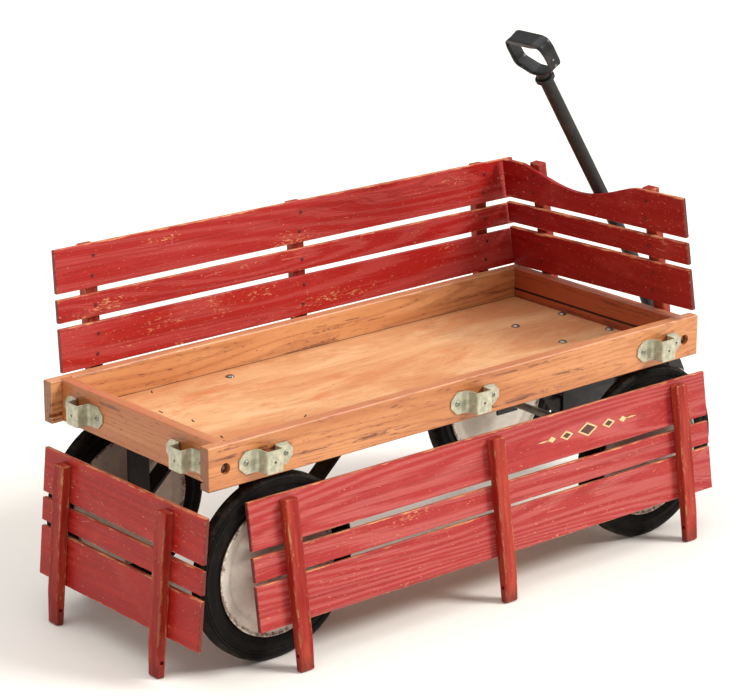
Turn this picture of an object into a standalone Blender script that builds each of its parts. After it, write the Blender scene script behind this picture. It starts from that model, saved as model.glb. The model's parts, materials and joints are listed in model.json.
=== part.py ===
"""Kids pull wagon: stake-side wooden bed on four pressed-steel wheels.

Frame: metres, +Z up, +X towards the pull handle, +Y to the wagon's left.
The origin is on the floor under the centre of the whole wagon.
"""
import math

import bmesh
import bpy
from mathutils import Matrix, Vector

# ---- driving dimensions (metres) -------------------------------------------
GAP = 0.0003                 # clearance between pieces that touch
FRAME_SHIFT_X = 0.0561       # bed centre, measured from the origin
FRAME_SHIFT_Y = -0.01065

BED_LENGTH = 0.914
BED_WIDTH = 0.377
BOARD_HEIGHT = 0.061
BOARD_THICK = 0.018
BED_BOTTOM = 0.2695
RIM = BED_BOTTOM + BOARD_HEIGHT
END_INSET = 0.0195           # end boards sit this far inside the side boards' ends
DADO_DEPTH = 0.005
FLOOR_THICK = 0.006
FLOOR_TOP = 0.2848
FLOOR_GROOVE_DEPTH = 0.006
KERF_Z = 0.2978              # saw kerf along the end boards' inner faces
KERF_HEIGHT = 0.003
KERF_DEPTH = 0.002

COUNTERBORE_RADIUS = 0.0080
COUNTERBORE_DEPTH = 0.007

BRACKET_HEIGHT = 0.032
BRACKET_Z = 0.2975
BRACKET_METAL = 0.0016
POCKET_WIDTH = 0.0250
POCKET_DEPTH = 0.0203
BRACKET_EAR = 0.045          # half length of a bracket over its ears
SIDE_BRACKETS_X = (-0.3625, 0.0085, 0.3740)
REAR_BRACKETS_Y = (-0.1180, 0.1180)
FRONT_BRACKETS_Y = (-0.1248, 0.1180)

SLAT_THICK = 0.0070
# Slat levels: bottom, middle and top slat, each (low edge, high edge). The slats of this
# wagon are hand cut, so each panel has its own levels.
LEFT_LEVELS = ((0.0648, 0.1275), (0.1356, 0.1689), (0.1775, 0.2400))
LEFT_LOW_EDGE_RISE = 0.0064  # the left bottom slat narrows by this towards its front end
RIGHT_LEVELS = ((0.0660, 0.1300), (0.1353, 0.1693), (0.1783, 0.2455))
REAR_LEVELS = ((0.0570, 0.1275), (0.1356, 0.1689), (0.1775, 0.2412))
FRONT_LEVELS = ((0.0646, 0.1275), (0.1356, 0.1689), (0.1775, 0.2385))
SIDE_PANEL_LENGTH = 0.862
SIDE_PANEL_STAKES = (0.0630, 0.4340, 0.7995)
SIDE_STAKE_HEIGHT = 0.2385
REAR_PANEL_LENGTH = 0.3686
REAR_PANEL_STAKES = (0.0545, 0.2900)
REAR_STAKE_HEIGHT = 0.2310
FRONT_PANEL_LENGTH = 0.3885
FRONT_PANEL_STAKES = (0.0664, 0.3090)
FRONT_STAKE_HEIGHT = 0.2395
STAKE_WIDTH = 0.0225
STAKE_DEPTH = 0.0148
STAKE_FOOT_DEPTH = 0.0112
STAKE_TAPER = 0.046
STAKE_HOLE_RADIUS = 0.0031
STAKE_HOLE_V = 0.022
SCALLOP_START = 0.0450       # along the front panel's top slat
SCALLOP_WIDTH = 0.2450
SCALLOP_DEPTH = 0.0276

WHEEL_RADIUS = 0.1320
TYRE_HALF_WIDTH = 0.0125
WHEEL_Y = 0.1685
REAR_AXLE_X = -0.3360
FRONT_AXLE_X = 0.3710
KINGPIN_X = 0.3600
RIM_RADIUS = 0.0975
AXLE_RADIUS = 0.0060
AXLE_END = 0.1885
HUB_RADIUS = 0.0130
HUB_HALF = 0.0155

HANGER_Y = 0.1280
HANGER_METAL = 0.003
HANGER_WIDTH = 0.036
HANGER_FOOT = 0.114
BOSS_LOW = 0.2662            # underside of the boss that the front truck turns on
TRUCK_TOP = BOSS_LOW - GAP
TRUCK_METAL = 0.0040

BOLT_RADIUS = 0.0025
BOLSTER_BOLTS = [(KINGPIN_X + dx, dy) for dx in (-0.049, 0.049) for dy in (-0.0515, 0.0515)]
BRACE_BOLTS = [(-0.1680, -0.1400), (-0.1680, 0.1400)]

TONGUE_HALF_WIDTH = 0.010
TONGUE_HALF_HEIGHT = 0.012
PIVOT_X = 0.6030
PIVOT_Z = 0.1655
PIVOT_RADIUS = 0.0045
HANDLE_RADIUS = 0.0108
HANDLE_BEND = (0.5080, 0.3665)   # x, z of the slight bend
HANDLE_TOP = (0.3137, 0.6785)    # x, z of the collar under the grip
GRIP_STRAP_WIDTH = 0.0235
GRIP_STRAP_THICK = 0.0035


def srgb(r, g, b):
    """Colour given as 0-255 screen values, turned linear."""
    def lin(c):
        c = c / 255
        return c / 12.92 if c <= 0.04045 else ((c + 0.055) / 1.055) ** 2.4
    return (lin(r), lin(g), lin(b), 1.0)


FINISHES = {
    "varnished_wood": (srgb(222, 152, 96), 0.45, 0.0),
    "plywood": (srgb(236, 186, 132), 0.5, 0.0),
    "red_paint": (srgb(196, 62, 56), 0.45, 0.0),
    "bracket_steel": (srgb(196, 196, 178), 0.45, 0.6),
    "black_steel": (srgb(36, 34, 34), 0.45, 0.4),
    "handle_steel": (srgb(52, 48, 46), 0.4, 0.5),
    "bare_steel": (srgb(120, 118, 112), 0.35, 0.9),
    "tyre_rubber": (srgb(32, 30, 30), 0.75, 0.0),
    "cream_steel": (srgb(206, 198, 184), 0.45, 0.2),
}


# ---- scene and object helpers ----------------------------------------------
def clear_scene():
    for obj in list(bpy.data.objects):
        bpy.data.objects.remove(obj, do_unlink=True)


def new_collection(name):
    col = bpy.data.collections.new(name)
    bpy.context.scene.collection.children.link(col)
    return col


clear_scene()
PARTS = new_collection("kids_pull_wagon")
CUTTERS = new_collection("cutters")


def material(name):
    mat = bpy.data.materials.get(name)
    if mat is None:
        colour, rough, metal = FINISHES[name]
        mat = bpy.data.materials.new(name)
        mat.use_nodes = True
        shader = mat.node_tree.nodes["Principled BSDF"]
        shader.inputs["Base Color"].default_value = colour
        shader.inputs["Roughness"].default_value = rough
        shader.inputs["Metallic"].default_value = metal
    return mat


def empty(name, parent=None, matrix=None):
    """A parent empty, placed in its parent's space."""
    obj = bpy.data.objects.new(name, None)
    PARTS.objects.link(obj)
    obj.parent = parent
    obj.matrix_local = matrix if matrix is not None else Matrix.Identity(4)
    return obj


def add(name, mesh, finish, parent, location=(0, 0, 0)):
    """Make a named part from a mesh whose vertices are in the parent's space."""
    obj = bpy.data.objects.new(name, mesh)
    PARTS.objects.link(obj)
    obj.parent = parent
    obj.location = location
    mesh.materials.clear()
    mesh.materials.append(material(finish))
    return obj


def mesh_from(bm, name, outward=False):
    """A mesh from a bmesh; primitives already face outward, other shapes are turned to."""
    if not outward:
        bmesh.ops.recalc_face_normals(bm, faces=bm.faces)
    mesh = bpy.data.meshes.new(name)
    bm.to_mesh(mesh)
    bm.free()
    return mesh


def box_mesh(low, high, name="box"):
    bm = bmesh.new()
    bmesh.ops.create_cube(bm, size=1.0)
    low, high = Vector(low), Vector(high)
    size = high - low
    for v in bm.verts:
        v.co = Vector([v.co[i] * size[i] for i in range(3)]) + (low + high) / 2
    return mesh_from(bm, name, outward=True)


def cylinder_mesh(radius, start, end, sides=12, name="cylinder"):
    """A closed round bar between two points."""
    start, end = Vector(start), Vector(end)
    bm = bmesh.new()
    bmesh.ops.create_cone(bm, cap_ends=True, segments=sides, radius1=radius,
                          radius2=radius, depth=(end - start).length)
    turn = Vector((0, 0, 1)).rotation_difference(end - start).to_matrix().to_4x4()
    bm.transform(Matrix.Translation((start + end) / 2) @ turn)
    return mesh_from(bm, name, outward=True)


def evaluated_mesh(obj):
    """The mesh of an object with its modifiers or curve settings applied."""
    bpy.context.view_layer.update()
    graph = bpy.context.evaluated_depsgraph_get()
    return bpy.data.meshes.new_from_object(obj.evaluated_get(graph))


def weld(mesh):
    bm = bmesh.new()
    bm.from_mesh(mesh)
    bmesh.ops.remove_doubles(bm, verts=bm.verts, dist=1e-6)
    return mesh_from(bm, mesh.name)


def outline_mesh(points, thickness, name="outline", holes=()):
    """A flat outline in the XY plane, extruded evenly about z = 0."""
    curve = bpy.data.curves.new(name, "CURVE")
    curve.dimensions = "2D"
    curve.fill_mode = "BOTH"
    curve.extrude = thickness / 2
    for loop in (points, *holes):
        spline = curve.splines.new("POLY")
        spline.points.add(len(loop) - 1)
        for point, (x, y) in zip(spline.points, loop):
            point.co = (x, y, 0, 1)
        spline.use_cyclic_u = True
    obj = bpy.data.objects.new(name, curve)
    PARTS.objects.link(obj)
    mesh = weld(evaluated_mesh(obj))
    bpy.data.objects.remove(obj, do_unlink=True)
    return mesh


def turned_mesh(profile, steps=32, name="turned"):
    """A profile of (radius, height) points, turned about Z; radius 0 closes an end."""
    mesh = bpy.data.meshes.new(name)
    verts = [(r, 0, z) for r, z in profile]
    closed = all(r > 0 for r, _ in profile)
    edges = [(i, i + 1) for i in range(len(verts) - 1)]
    if closed:
        edges.append((len(verts) - 1, 0))
    mesh.from_pydata(verts, edges, [])
    obj = bpy.data.objects.new(name, mesh)
    PARTS.objects.link(obj)
    screw = obj.modifiers.new("turn", "SCREW")
    screw.axis = "Z"
    screw.steps = steps
    screw.render_steps = steps
    screw.use_merge_vertices = True
    screw.merge_threshold = 0.0001
    result = weld(evaluated_mesh(obj))
    bpy.data.objects.remove(obj, do_unlink=True)
    return result


def tube_mesh(points, radius, resolution=2, name="tube"):
    """A round bar along a line of points."""
    curve = bpy.data.curves.new(name, "CURVE")
    curve.dimensions = "3D"
    curve.bevel_depth = radius
    curve.bevel_resolution = resolution
    curve.use_fill_caps = True
    spline = curve.splines.new("POLY")
    spline.points.add(len(points) - 1)
    for point, co in zip(spline.points, points):
        point.co = (*co, 1)
    obj = bpy.data.objects.new(name, curve)
    PARTS.objects.link(obj)
    mesh = weld(evaluated_mesh(obj))
    bpy.data.objects.remove(obj, do_unlink=True)
    return mesh


def transformed(mesh, matrix):
    copy = mesh.copy()
    copy.transform(matrix)
    return copy


def joined(meshes, name="joined"):
    """Several closed bodies held in one mesh."""
    bm = bmesh.new()
    for mesh in meshes:
        bm.from_mesh(mesh)
    out = bpy.data.meshes.new(name)
    bm.to_mesh(out)
    bm.free()
    return out


def boolean(obj, mesh, operation="DIFFERENCE"):
    """Cut or join a mesh, given in the object's own space, into the object."""
    cutter = bpy.data.objects.new(obj.name + "_cutter", mesh)
    CUTTERS.objects.link(cutter)
    cutter.parent = obj
    cutter.hide_render = True
    cutter.display_type = "WIRE"
    mod = obj.modifiers.new(operation.lower(), "BOOLEAN")
    mod.operation = operation
    mod.solver = "EXACT"
    mod.object = cutter


def bevel(obj, width, segments=1, angle=40):
    mod = obj.modifiers.new("round_edges", "BEVEL")
    mod.width = width
    mod.segments = segments
    mod.limit_method = "ANGLE"
    mod.angle_limit = math.radians(angle)


def smooth(obj, angle=35):
    obj.data.shade_smooth()
    obj.data.set_sharp_from_angle(angle=math.radians(angle))


def arc(cx, cy, radius, start, end, steps):
    """Points on an arc, angles in degrees."""
    out = []
    for i in range(steps + 1):
        a = math.radians(start + (end - start) * i / steps)
        out.append((cx + radius * math.cos(a), cy + radius * math.sin(a)))
    return out


# Wagon frame: every dimension above is measured from the bed's centre line.
wagon = empty("wagon", matrix=Matrix.Translation((-FRAME_SHIFT_X, -FRAME_SHIFT_Y, 0)))


# ---- bed ---------------------------------------------------------------------
def make_side_board(name, side):
    """Side board: floor groove, a dado for each end board, and screw counterbores."""
    outer = BED_WIDTH / 2
    inner = outer - BOARD_THICK
    half = BED_LENGTH / 2
    low = (-half, min(side * outer, side * inner), BED_BOTTOM)
    high = (half, max(side * outer, side * inner), RIM)
    board = add(name, box_mesh(low, high), "varnished_wood", wagon)
    bevel(board, 0.0014)

    def slab(x0, x1, depth, z0, z1):
        y0, y1 = sorted((side * (inner - 0.005), side * (inner + depth)))
        return box_mesh((x0, y0, z0), (x1, y1, z1))

    groove_low = FLOOR_TOP - FLOOR_THICK - GAP
    boolean(board, slab(-half - 0.01, half + 0.01, FLOOR_GROOVE_DEPTH, groove_low, FLOOR_TOP + GAP))
    for end in (-1, 1):
        x0, x1 = sorted((end * (half - END_INSET + GAP),
                         end * (half - END_INSET - BOARD_THICK - GAP)))
        boolean(board, slab(x0, x1, DADO_DEPTH, BED_BOTTOM - 0.01, RIM + 0.01))
        x = end * (half - END_INSET - BOARD_THICK / 2)
        start = (x, side * (outer + 0.002), BRACKET_Z)
        stop = (x, side * (outer - COUNTERBORE_DEPTH), BRACKET_Z)
        boolean(board, cylinder_mesh(COUNTERBORE_RADIUS, start, stop, sides=12))
        turn = Matrix.Rotation(0 if side > 0 else math.pi, 4, "Z")
        seat = Matrix.Translation((x, side * (outer - COUNTERBORE_DEPTH - 0.0005), BRACKET_Z))
        boolean(board, transformed(screw_mesh(0.0046, 0.0031), seat @ turn), "UNION")


def make_end_board(name, end):
    """End board seated in the side boards' dadoes, with a saw kerf inside."""
    half_width = BED_WIDTH / 2 - BOARD_THICK + DADO_DEPTH - GAP
    outer = BED_LENGTH / 2 - END_INSET
    inner = outer - BOARD_THICK
    x0, x1 = sorted((end * outer, end * inner))
    low = (x0, -half_width, BED_BOTTOM)
    board = add(name, box_mesh(low, (x1, half_width, RIM)), "varnished_wood", wagon)
    bevel(board, 0.0014)
    k0, k1 = sorted((end * (inner - 0.004), end * (inner + KERF_DEPTH)))
    clear = BED_WIDTH / 2 - BOARD_THICK - 0.002
    boolean(board, box_mesh((k0, -clear, KERF_Z - KERF_HEIGHT / 2),
                            (k1, clear, KERF_Z + KERF_HEIGHT / 2)))


def make_floor():
    """Plywood floor, held in the side boards' grooves and drilled for the bolts."""
    half = BED_LENGTH / 2 - END_INSET - BOARD_THICK - GAP
    width = BED_WIDTH / 2 - BOARD_THICK + FLOOR_GROOVE_DEPTH - GAP
    floor = add("floor_panel", box_mesh((-half, -width, FLOOR_TOP - FLOOR_THICK),
                                        (half, width, FLOOR_TOP)), "plywood", wagon)
    holes = [cylinder_mesh(BOLT_RADIUS + GAP, (x, y, FLOOR_TOP - 0.02), (x, y, FLOOR_TOP + 0.02), 8)
             for x, y in BOLSTER_BOLTS + BRACE_BOLTS]
    boolean(floor, joined(holes))


def deck_bolt_mesh(x, y, plate_top, plate_thick):
    """Round-head bolt through the floor and the plate under it, with its nut below."""
    nut_top = plate_top - plate_thick + 0.0003
    nut_low = nut_top - 0.0045
    profile = [(0, FLOOR_TOP + 0.0030), (0.0042, FLOOR_TOP + 0.0022), (0.0064, FLOOR_TOP + GAP),
               (BOLT_RADIUS, FLOOR_TOP + GAP), (BOLT_RADIUS, nut_top),
               (0.0048, nut_top), (0.0048, nut_low), (0, nut_low)]
    return transformed(turned_mesh(profile, steps=8), Matrix.Translation((x, y, 0)))


def bracket_outline():
    """Plan outline of a folded steel pocket: ear, web, plate, web, ear."""
    metal = BRACKET_METAL
    ear = BRACKET_EAR
    inside = POCKET_WIDTH / 2
    depth = POCKET_DEPTH
    flare = 0.0025
    right = [(ear, GAP), (ear, GAP + metal), (inside + metal + flare + 0.002, GAP + metal),
             (inside + metal + flare, GAP + metal + 0.0015), (inside + metal, depth - 0.0011),
             (inside - 0.0012, depth + metal)]
    inner = [(-inside - flare, GAP), (-inside, GAP + 0.004), (-inside, depth),
             (inside, depth), (inside, GAP + 0.004), (inside + flare, GAP)]
    left = [(-x, y) for x, y in reversed(right)]
    return right + left + inner


def bracket_mesh():
    """One bracket: local x along the board, y outwards, z up."""
    body = outline_mesh(bracket_outline(), BRACKET_HEIGHT)
    obj = bpy.data.objects.new("bracket_work", body)
    PARTS.objects.link(obj)
    cut = 0.011
    half = BRACKET_HEIGHT / 2
    corners = []
    for sx in (-1, 1):
        for sz in (-1, 1):
            tri = [(sx * (BRACKET_EAR - cut), sz * (half + 0.0001)),
                   (sx * (BRACKET_EAR + 0.002), sz * (half + 0.0001)),
                   (sx * (BRACKET_EAR + 0.002), sz * (half - cut - 0.002))]
            wedge = outline_mesh(tri, 0.012)
            corners.append(transformed(wedge, Matrix.Rotation(math.radians(90), 4, "X")))
    boolean(obj, joined(corners))
    boolean(obj, cylinder_mesh(0.0016, (0, POCKET_DEPTH - 0.003, 0), (0, POCKET_DEPTH + 0.005, 0), 6))
    mesh = evaluated_mesh(obj)
    cutters = list(obj.children)
    bpy.data.objects.remove(obj, do_unlink=True)
    for cutter in cutters:
        bpy.data.objects.remove(cutter, do_unlink=True)
    return mesh


def screw_mesh(radius, height, sides=8):
    """A domed screw head, standing on y = 0 and facing +y."""
    profile = [(0, height), (radius * 0.62, height * 0.78), (radius, height * 0.25),
               (radius, 0), (0, 0)]
    dome = turned_mesh(profile, steps=sides)
    return transformed(dome, Matrix.Rotation(math.radians(-90), 4, "X"))


def bracket_places():
    """Every bracket as (group, matrix): origin on the board's outer face."""
    places = []
    half_width = BED_WIDTH / 2
    end_face = BED_LENGTH / 2 - END_INSET
    for x in SIDE_BRACKETS_X:
        places.append(("right", Matrix.Translation((x, -half_width, BRACKET_Z))
                       @ Matrix.Rotation(math.pi, 4, "Z")))
        places.append(("left", Matrix.Translation((x, half_width, BRACKET_Z))))
    for y in REAR_BRACKETS_Y:
        places.append(("rear", Matrix.Translation((-end_face, y, BRACKET_Z))
                       @ Matrix.Rotation(math.pi / 2, 4, "Z")))
    for y in FRONT_BRACKETS_Y:
        places.append(("front", Matrix.Translation((end_face, y, BRACKET_Z))
                       @ Matrix.Rotation(-math.pi / 2, 4, "Z")))
    return places


def make_brackets():
    """Ten pockets, each joined to the two screws that hold it."""
    bracket = bracket_mesh()
    head = screw_mesh(0.0036, 0.0026, sides=6)
    counts = {}
    for group, place in bracket_places():
        counts[group] = counts.get(group, 0) + 1
        name = "stake_bracket_" + group + "_" + str(counts[group])
        obj = add(name, transformed(bracket, place), "bracket_steel", wagon)
        heads = []
        for sx in (-1, 1):
            seat = Matrix.Translation((sx * 0.0335, GAP + BRACKET_METAL - 0.0004, 0))
            heads.append(transformed(head, place @ seat))
        boolean(obj, joined(heads), "UNION")


# ---- running gear ------------------------------------------------------------
def strap_u_mesh(x_centre, width, top, foot, metal):
    """An upside-down U of strap: a cross plate with a leg at each side."""
    half = HANGER_Y
    points = [(-half - metal / 2, foot), (-half - metal / 2, top), (half + metal / 2, top),
              (half + metal / 2, foot), (half - metal / 2, foot), (half - metal / 2, top - metal),
              (-half + metal / 2, top - metal), (-half + metal / 2, foot)]
    plate = outline_mesh(points, width)
    turn = Matrix(((0, 0, 1, x_centre), (1, 0, 0, 0), (0, 1, 0, 0), (0, 0, 0, 1)))
    return transformed(plate, turn)


def make_rear_gear():
    cleat_low = BED_BOTTOM + GAP
    cleat = box_mesh((REAR_AXLE_X - 0.028, -0.150, cleat_low),
                     (REAR_AXLE_X + 0.028, 0.150, FLOOR_TOP - FLOOR_THICK - GAP))
    add("rear_cleat", cleat, "varnished_wood", wagon)
    hanger_x = REAR_AXLE_X - 0.006
    mesh = strap_u_mesh(hanger_x, HANGER_WIDTH, BED_BOTTOM, HANGER_FOOT, HANGER_METAL)
    hanger = add("rear_axle_hanger", mesh, "black_steel", wagon)
    axle_hole = cylinder_mesh(AXLE_RADIUS + GAP, (REAR_AXLE_X, -0.15, WHEEL_RADIUS),
                              (REAR_AXLE_X, 0.15, WHEEL_RADIUS), 16)
    boolean(hanger, axle_hole)
    under = BED_BOTTOM - HANGER_METAL + 0.0004
    heads = []
    for y in (-0.090, -0.030, 0.030, 0.090):
        down = Matrix.Translation((hanger_x, y, under)) @ Matrix.Rotation(math.radians(-90), 4, "X")
        heads.append(transformed(screw_mesh(0.0042, 0.0026), down))
    boolean(hanger, joined(heads), "UNION")
    add_axle("rear_axle", REAR_AXLE_X, wagon)
    foot_x = REAR_AXLE_X + 0.0135
    metal = 0.0028
    under_floor = FLOOR_TOP - FLOOR_THICK - GAP
    top_x = -0.1800
    flange_x = -0.1500
    outline = [(foot_x, 0.1500), (top_x, under_floor), (flange_x, under_floor),
               (flange_x, under_floor - metal), (top_x + 0.0015, under_floor - metal),
               (foot_x + 0.0018, 0.1480 - metal)]
    strap = outline_mesh(outline, 0.030)
    for name, side, (x, y) in zip(("rear_brace_right", "rear_brace_left"), (-1, 1), BRACE_BOLTS):
        turn = Matrix(((1, 0, 0, 0), (0, 0, -1, side * 0.1380), (0, 1, 0, 0), (0, 0, 0, 1)))
        brace = add(name, transformed(strap, turn), "black_steel", wagon)
        boolean(brace, deck_bolt_mesh(x, y, under_floor, metal), "UNION")


def make_bolster():
    """Plate bolted under the floor, with the boss that the front truck turns on."""
    top = FLOOR_TOP - FLOOR_THICK - GAP
    half = 0.066
    front = BED_LENGTH / 2 - END_INSET - BOARD_THICK - 0.001
    plate = add("bolster_plate", box_mesh((2 * KINGPIN_X - front, -half, top - 0.004),
                                          (front, half, top)), "black_steel", wagon)
    boolean(plate, cylinder_mesh(0.036, (KINGPIN_X, 0, top - 0.0022), (KINGPIN_X, 0, BOSS_LOW), 24),
            "UNION")
    boolean(plate, cylinder_mesh(0.0053, (KINGPIN_X, 0, 0.24), (KINGPIN_X, 0, 0.30), 12))
    boolean(plate, cylinder_mesh(0.0105, (KINGPIN_X, 0, top - 0.0036), (KINGPIN_X, 0, 0.30), 12))
    for x, y in BOLSTER_BOLTS:
        boolean(plate, deck_bolt_mesh(x, y, top, 0.004), "UNION")
    profile = [(0, top - 0.0004), (0.0090, top - 0.0004), (0.0090, top - 0.0033),
               (0.0050, top - 0.0033), (0.0050, 0.2560), (0.0100, 0.2560), (0.0100, 0.2480),
               (0.0050, 0.2480), (0.0050, 0.2420), (0, 0.2420)]
    pin = turned_mesh(profile, steps=12)
    add("kingpin", transformed(pin, Matrix.Translation((KINGPIN_X, 0, 0))), "bare_steel", wagon)


def make_front_truck(truck):
    """Turning truck: strap hanger, axle, tongue and the yoke that ties them."""
    centre_x = FRONT_AXLE_X - 0.004
    mesh = strap_u_mesh(centre_x, 0.042, TRUCK_TOP, HANGER_FOOT, TRUCK_METAL)
    local = Matrix.Translation((-KINGPIN_X, 0, 0))
    hanger = add("front_axle_hanger", transformed(mesh, local), "black_steel", truck)
    boolean(hanger, cylinder_mesh(0.0053, (0, 0, 0.24), (0, 0, 0.28), 12))
    axle_x = FRONT_AXLE_X - KINGPIN_X
    start, stop = (axle_x, -0.15, WHEEL_RADIUS), (axle_x, 0.15, WHEEL_RADIUS)
    boolean(hanger, cylinder_mesh(AXLE_RADIUS + GAP, start, stop, 16))
    add_axle("front_axle", axle_x, truck)

    tip = PIVOT_X - KINGPIN_X
    rear = 0.3310 - KINGPIN_X
    h = TONGUE_HALF_HEIGHT
    profile = ([(rear, h), (rear + 0.016, -h), (tip, -h)]
               + arc(tip, 0, h, -90, 90, 8)[1:-1] + [(tip, h)])
    bar = outline_mesh(profile, 2 * TONGUE_HALF_WIDTH)
    stand = Matrix(((1, 0, 0, 0), (0, 0, -1, 0), (0, 1, 0, PIVOT_Z), (0, 0, 0, 1)))
    tongue = add("tongue", transformed(bar, stand), "black_steel", truck)
    boolean(tongue, cylinder_mesh(PIVOT_RADIUS + GAP, (tip, -0.02, PIVOT_Z),
                                  (tip, 0.02, PIVOT_Z), 12))

    yoke_points = [(-0.019, 0.1160), (0.019, 0.1160), (0.019, 0.1900), (-0.019, 0.1900)]
    cheek = outline_mesh(yoke_points, 0.003)
    metal = 0.003
    inner = TONGUE_HALF_WIDTH + GAP
    cheeks = []
    for side in (-1, 1):
        y = side * (inner + metal / 2)
        turn = Matrix(((1, 0, 0, axle_x), (0, 0, -1, y), (0, 1, 0, 0), (0, 0, 0, 1)))
        cheeks.append(transformed(cheek, turn))
    yoke = add("tongue_yoke", cheeks[0], "black_steel", truck)
    cap_low = PIVOT_Z + h + GAP
    cap = box_mesh((axle_x - 0.019, -inner - metal / 2, cap_low),
                   (axle_x + 0.019, inner + metal / 2, cap_low + metal))
    boolean(yoke, cheeks[1], "UNION")
    boolean(yoke, cap, "UNION")
    start, stop = (axle_x, -0.03, WHEEL_RADIUS), (axle_x, 0.03, WHEEL_RADIUS)
    boolean(yoke, cylinder_mesh(AXLE_RADIUS + GAP, start, stop, 16))


def add_axle(name, x, parent):
    """A round axle with a domed cap pressed on each end."""
    half = [(0, AXLE_END + 0.0035), (0.0060, AXLE_END + 0.0022), (0.0095, AXLE_END - 0.0010),
            (0.0100, AXLE_END - 0.0040), (AXLE_RADIUS, AXLE_END - 0.0040)]
    profile = half + [(r, -y) for r, y in reversed(half)]
    lay = Matrix.Rotation(math.radians(-90), 4, "X")
    place = Matrix.Translation((x, 0, WHEEL_RADIUS))
    obj = add(name, transformed(turned_mesh(profile, 16), place @ lay), "bare_steel", parent)
    smooth(obj)


def make_wheel(name, hub):
    """Tyre, pressed steel disc and hub tube, about the local Y axis."""
    lay = Matrix.Rotation(math.radians(-90), 4, "X")
    half = TYRE_HALF_WIDTH
    r = WHEEL_RADIUS
    tyre = [(r - 0.0085, half), (r - 0.0022, half - 0.0030), (r, 0.0055), (r, -0.0055),
            (r - 0.0022, -half + 0.0030), (r - 0.0085, -half), (RIM_RADIUS + 0.0080, -half),
            (RIM_RADIUS - 0.0030, -0.0060), (RIM_RADIUS - 0.0030, 0.0060),
            (RIM_RADIUS + 0.0080, half)]
    part = add(name + "_tyre", transformed(turned_mesh(tyre, 32), lay), "tyre_rubber", hub)
    smooth(part)
    lip = RIM_RADIUS
    bore = AXLE_RADIUS + GAP
    outer = [(lip - 0.0040, 0.0060), (lip - 0.0040, -0.0060), (lip, -0.0096),
             (lip - 0.0040, -0.0110), (0.0770, -0.0072), (0.0300, -0.0125),
             (HUB_RADIUS, -0.0130), (HUB_RADIUS, -HUB_HALF), (bore, -HUB_HALF)]
    inner = [(x, -z) for x, z in reversed(outer[2:])]
    part = add(name + "_disc", transformed(turned_mesh(outer + inner, 24), lay), "cream_steel", hub)
    smooth(part)


# ---- pull handle ---------------------------------------------------------------
def make_handle(handle):
    """Fork, bent shaft, collar and loop grip; local origin on the pivot bolt."""
    bend = Vector((HANDLE_BEND[0] - PIVOT_X, 0, HANDLE_BEND[1] - PIVOT_Z))
    top = Vector((HANDLE_TOP[0] - PIVOT_X, 0, HANDLE_TOP[1] - PIVOT_Z))
    lower = bend.normalized()
    upper = (top - bend).normalized()

    ear_in = TONGUE_HALF_WIDTH + 0.0006
    metal = 0.003
    web = 0.046
    ear = arc(0, 0, 0.0130, 180, 360, 10) + [(0.0115, web), (-0.0115, web)]
    plate = outline_mesh(ear, metal)
    along = Matrix(((-lower.z, lower.x, 0, 0), (0, 0, 1, 0), (lower.x, lower.z, 0, 0), (0, 0, 0, 1)))
    sides = []
    for side in (-1, 1):
        shift = Matrix.Translation((0, side * (ear_in + metal / 2), 0))
        sides.append(transformed(plate, shift @ along))
    fork = add("handle_fork", sides[0], "handle_steel", handle)
    block = box_mesh((-0.0115, web - 0.004, -ear_in - metal / 2), (0.0115, web, ear_in + metal / 2))
    boolean(fork, sides[1], "UNION")
    boolean(fork, transformed(block, along), "UNION")
    boolean(fork, cylinder_mesh(PIVOT_RADIUS + GAP, (0, -0.03, 0), (0, 0.03, 0), 12))

    start = lower * (web + GAP)
    bend_out = upper * 0.012
    path = [start, bend - lower * 0.012, bend - lower * 0.004 + upper * 0.001,
            bend + bend_out, top + upper * 0.0120]
    shaft = add("handle_shaft", tube_mesh([tuple(p) for p in path], HANDLE_RADIUS, 4),
                "handle_steel", handle)

    across = Vector((0, 1, 0))
    normal = across.cross(upper)
    frame = Matrix(((across.x, upper.x, normal.x, top.x), (across.y, upper.y, normal.y, top.y),
                    (across.z, upper.z, normal.z, top.z), (0, 0, 0, 1)))
    ring = turned_mesh([(0, 0.0030), (0.0150, 0.0030), (0.0150, -0.0030), (0, -0.0030)], 16)
    stand = Matrix(((1, 0, 0, 0), (0, 0, 1, 0), (0, -1, 0, 0), (0, 0, 0, 1)))
    boolean(shaft, transformed(ring, frame @ stand), "UNION")
    smooth(shaft)

    base = 0.0120 + GAP
    half = 0.0400
    thick = GRIP_STRAP_THICK
    outer = ([(0.010, base), (half - 0.006, 0.0225)] + arc(half - 0.006, 0.0305, 0.006, -50, 0, 3)
             + arc(half - 0.010, 0.0660, 0.010, 0, 75, 4) + [(0, 0.0775)])
    inner = ([(0.008, base + thick + 0.001), (half - 0.0085, 0.0262), (half - thick, 0.0325)]
             + arc(half - 0.010, 0.0660, 0.010 - thick, 0, 75, 4) + [(0, 0.0775 - thick)])
    outer_loop = outer + [(-x, y) for x, y in reversed(outer[:-1])]
    inner_loop = inner + [(-x, y) for x, y in reversed(inner[:-1])]
    loop = outline_mesh(outer_loop, GRIP_STRAP_WIDTH, holes=(inner_loop,))
    grip = add("handle_grip", transformed(loop, frame), "handle_steel", handle)
    bevel(grip, 0.0006)

    head = ear_in + metal + GAP
    bolt = turned_mesh([(0, head + 0.0050), (0.0075, head + 0.0050), (0.0080, head),
                        (PIVOT_RADIUS, head), (PIVOT_RADIUS, -head), (0.0080, -head),
                        (0.0080, -head - 0.0060), (PIVOT_RADIUS, -head - 0.0060),
                        (PIVOT_RADIUS, -head - 0.0085), (0, -head - 0.0085)], 12)
    lay = Matrix.Rotation(math.radians(90), 4, "X")
    add("handle_pivot_bolt", transformed(bolt, lay), "bare_steel", handle)


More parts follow.
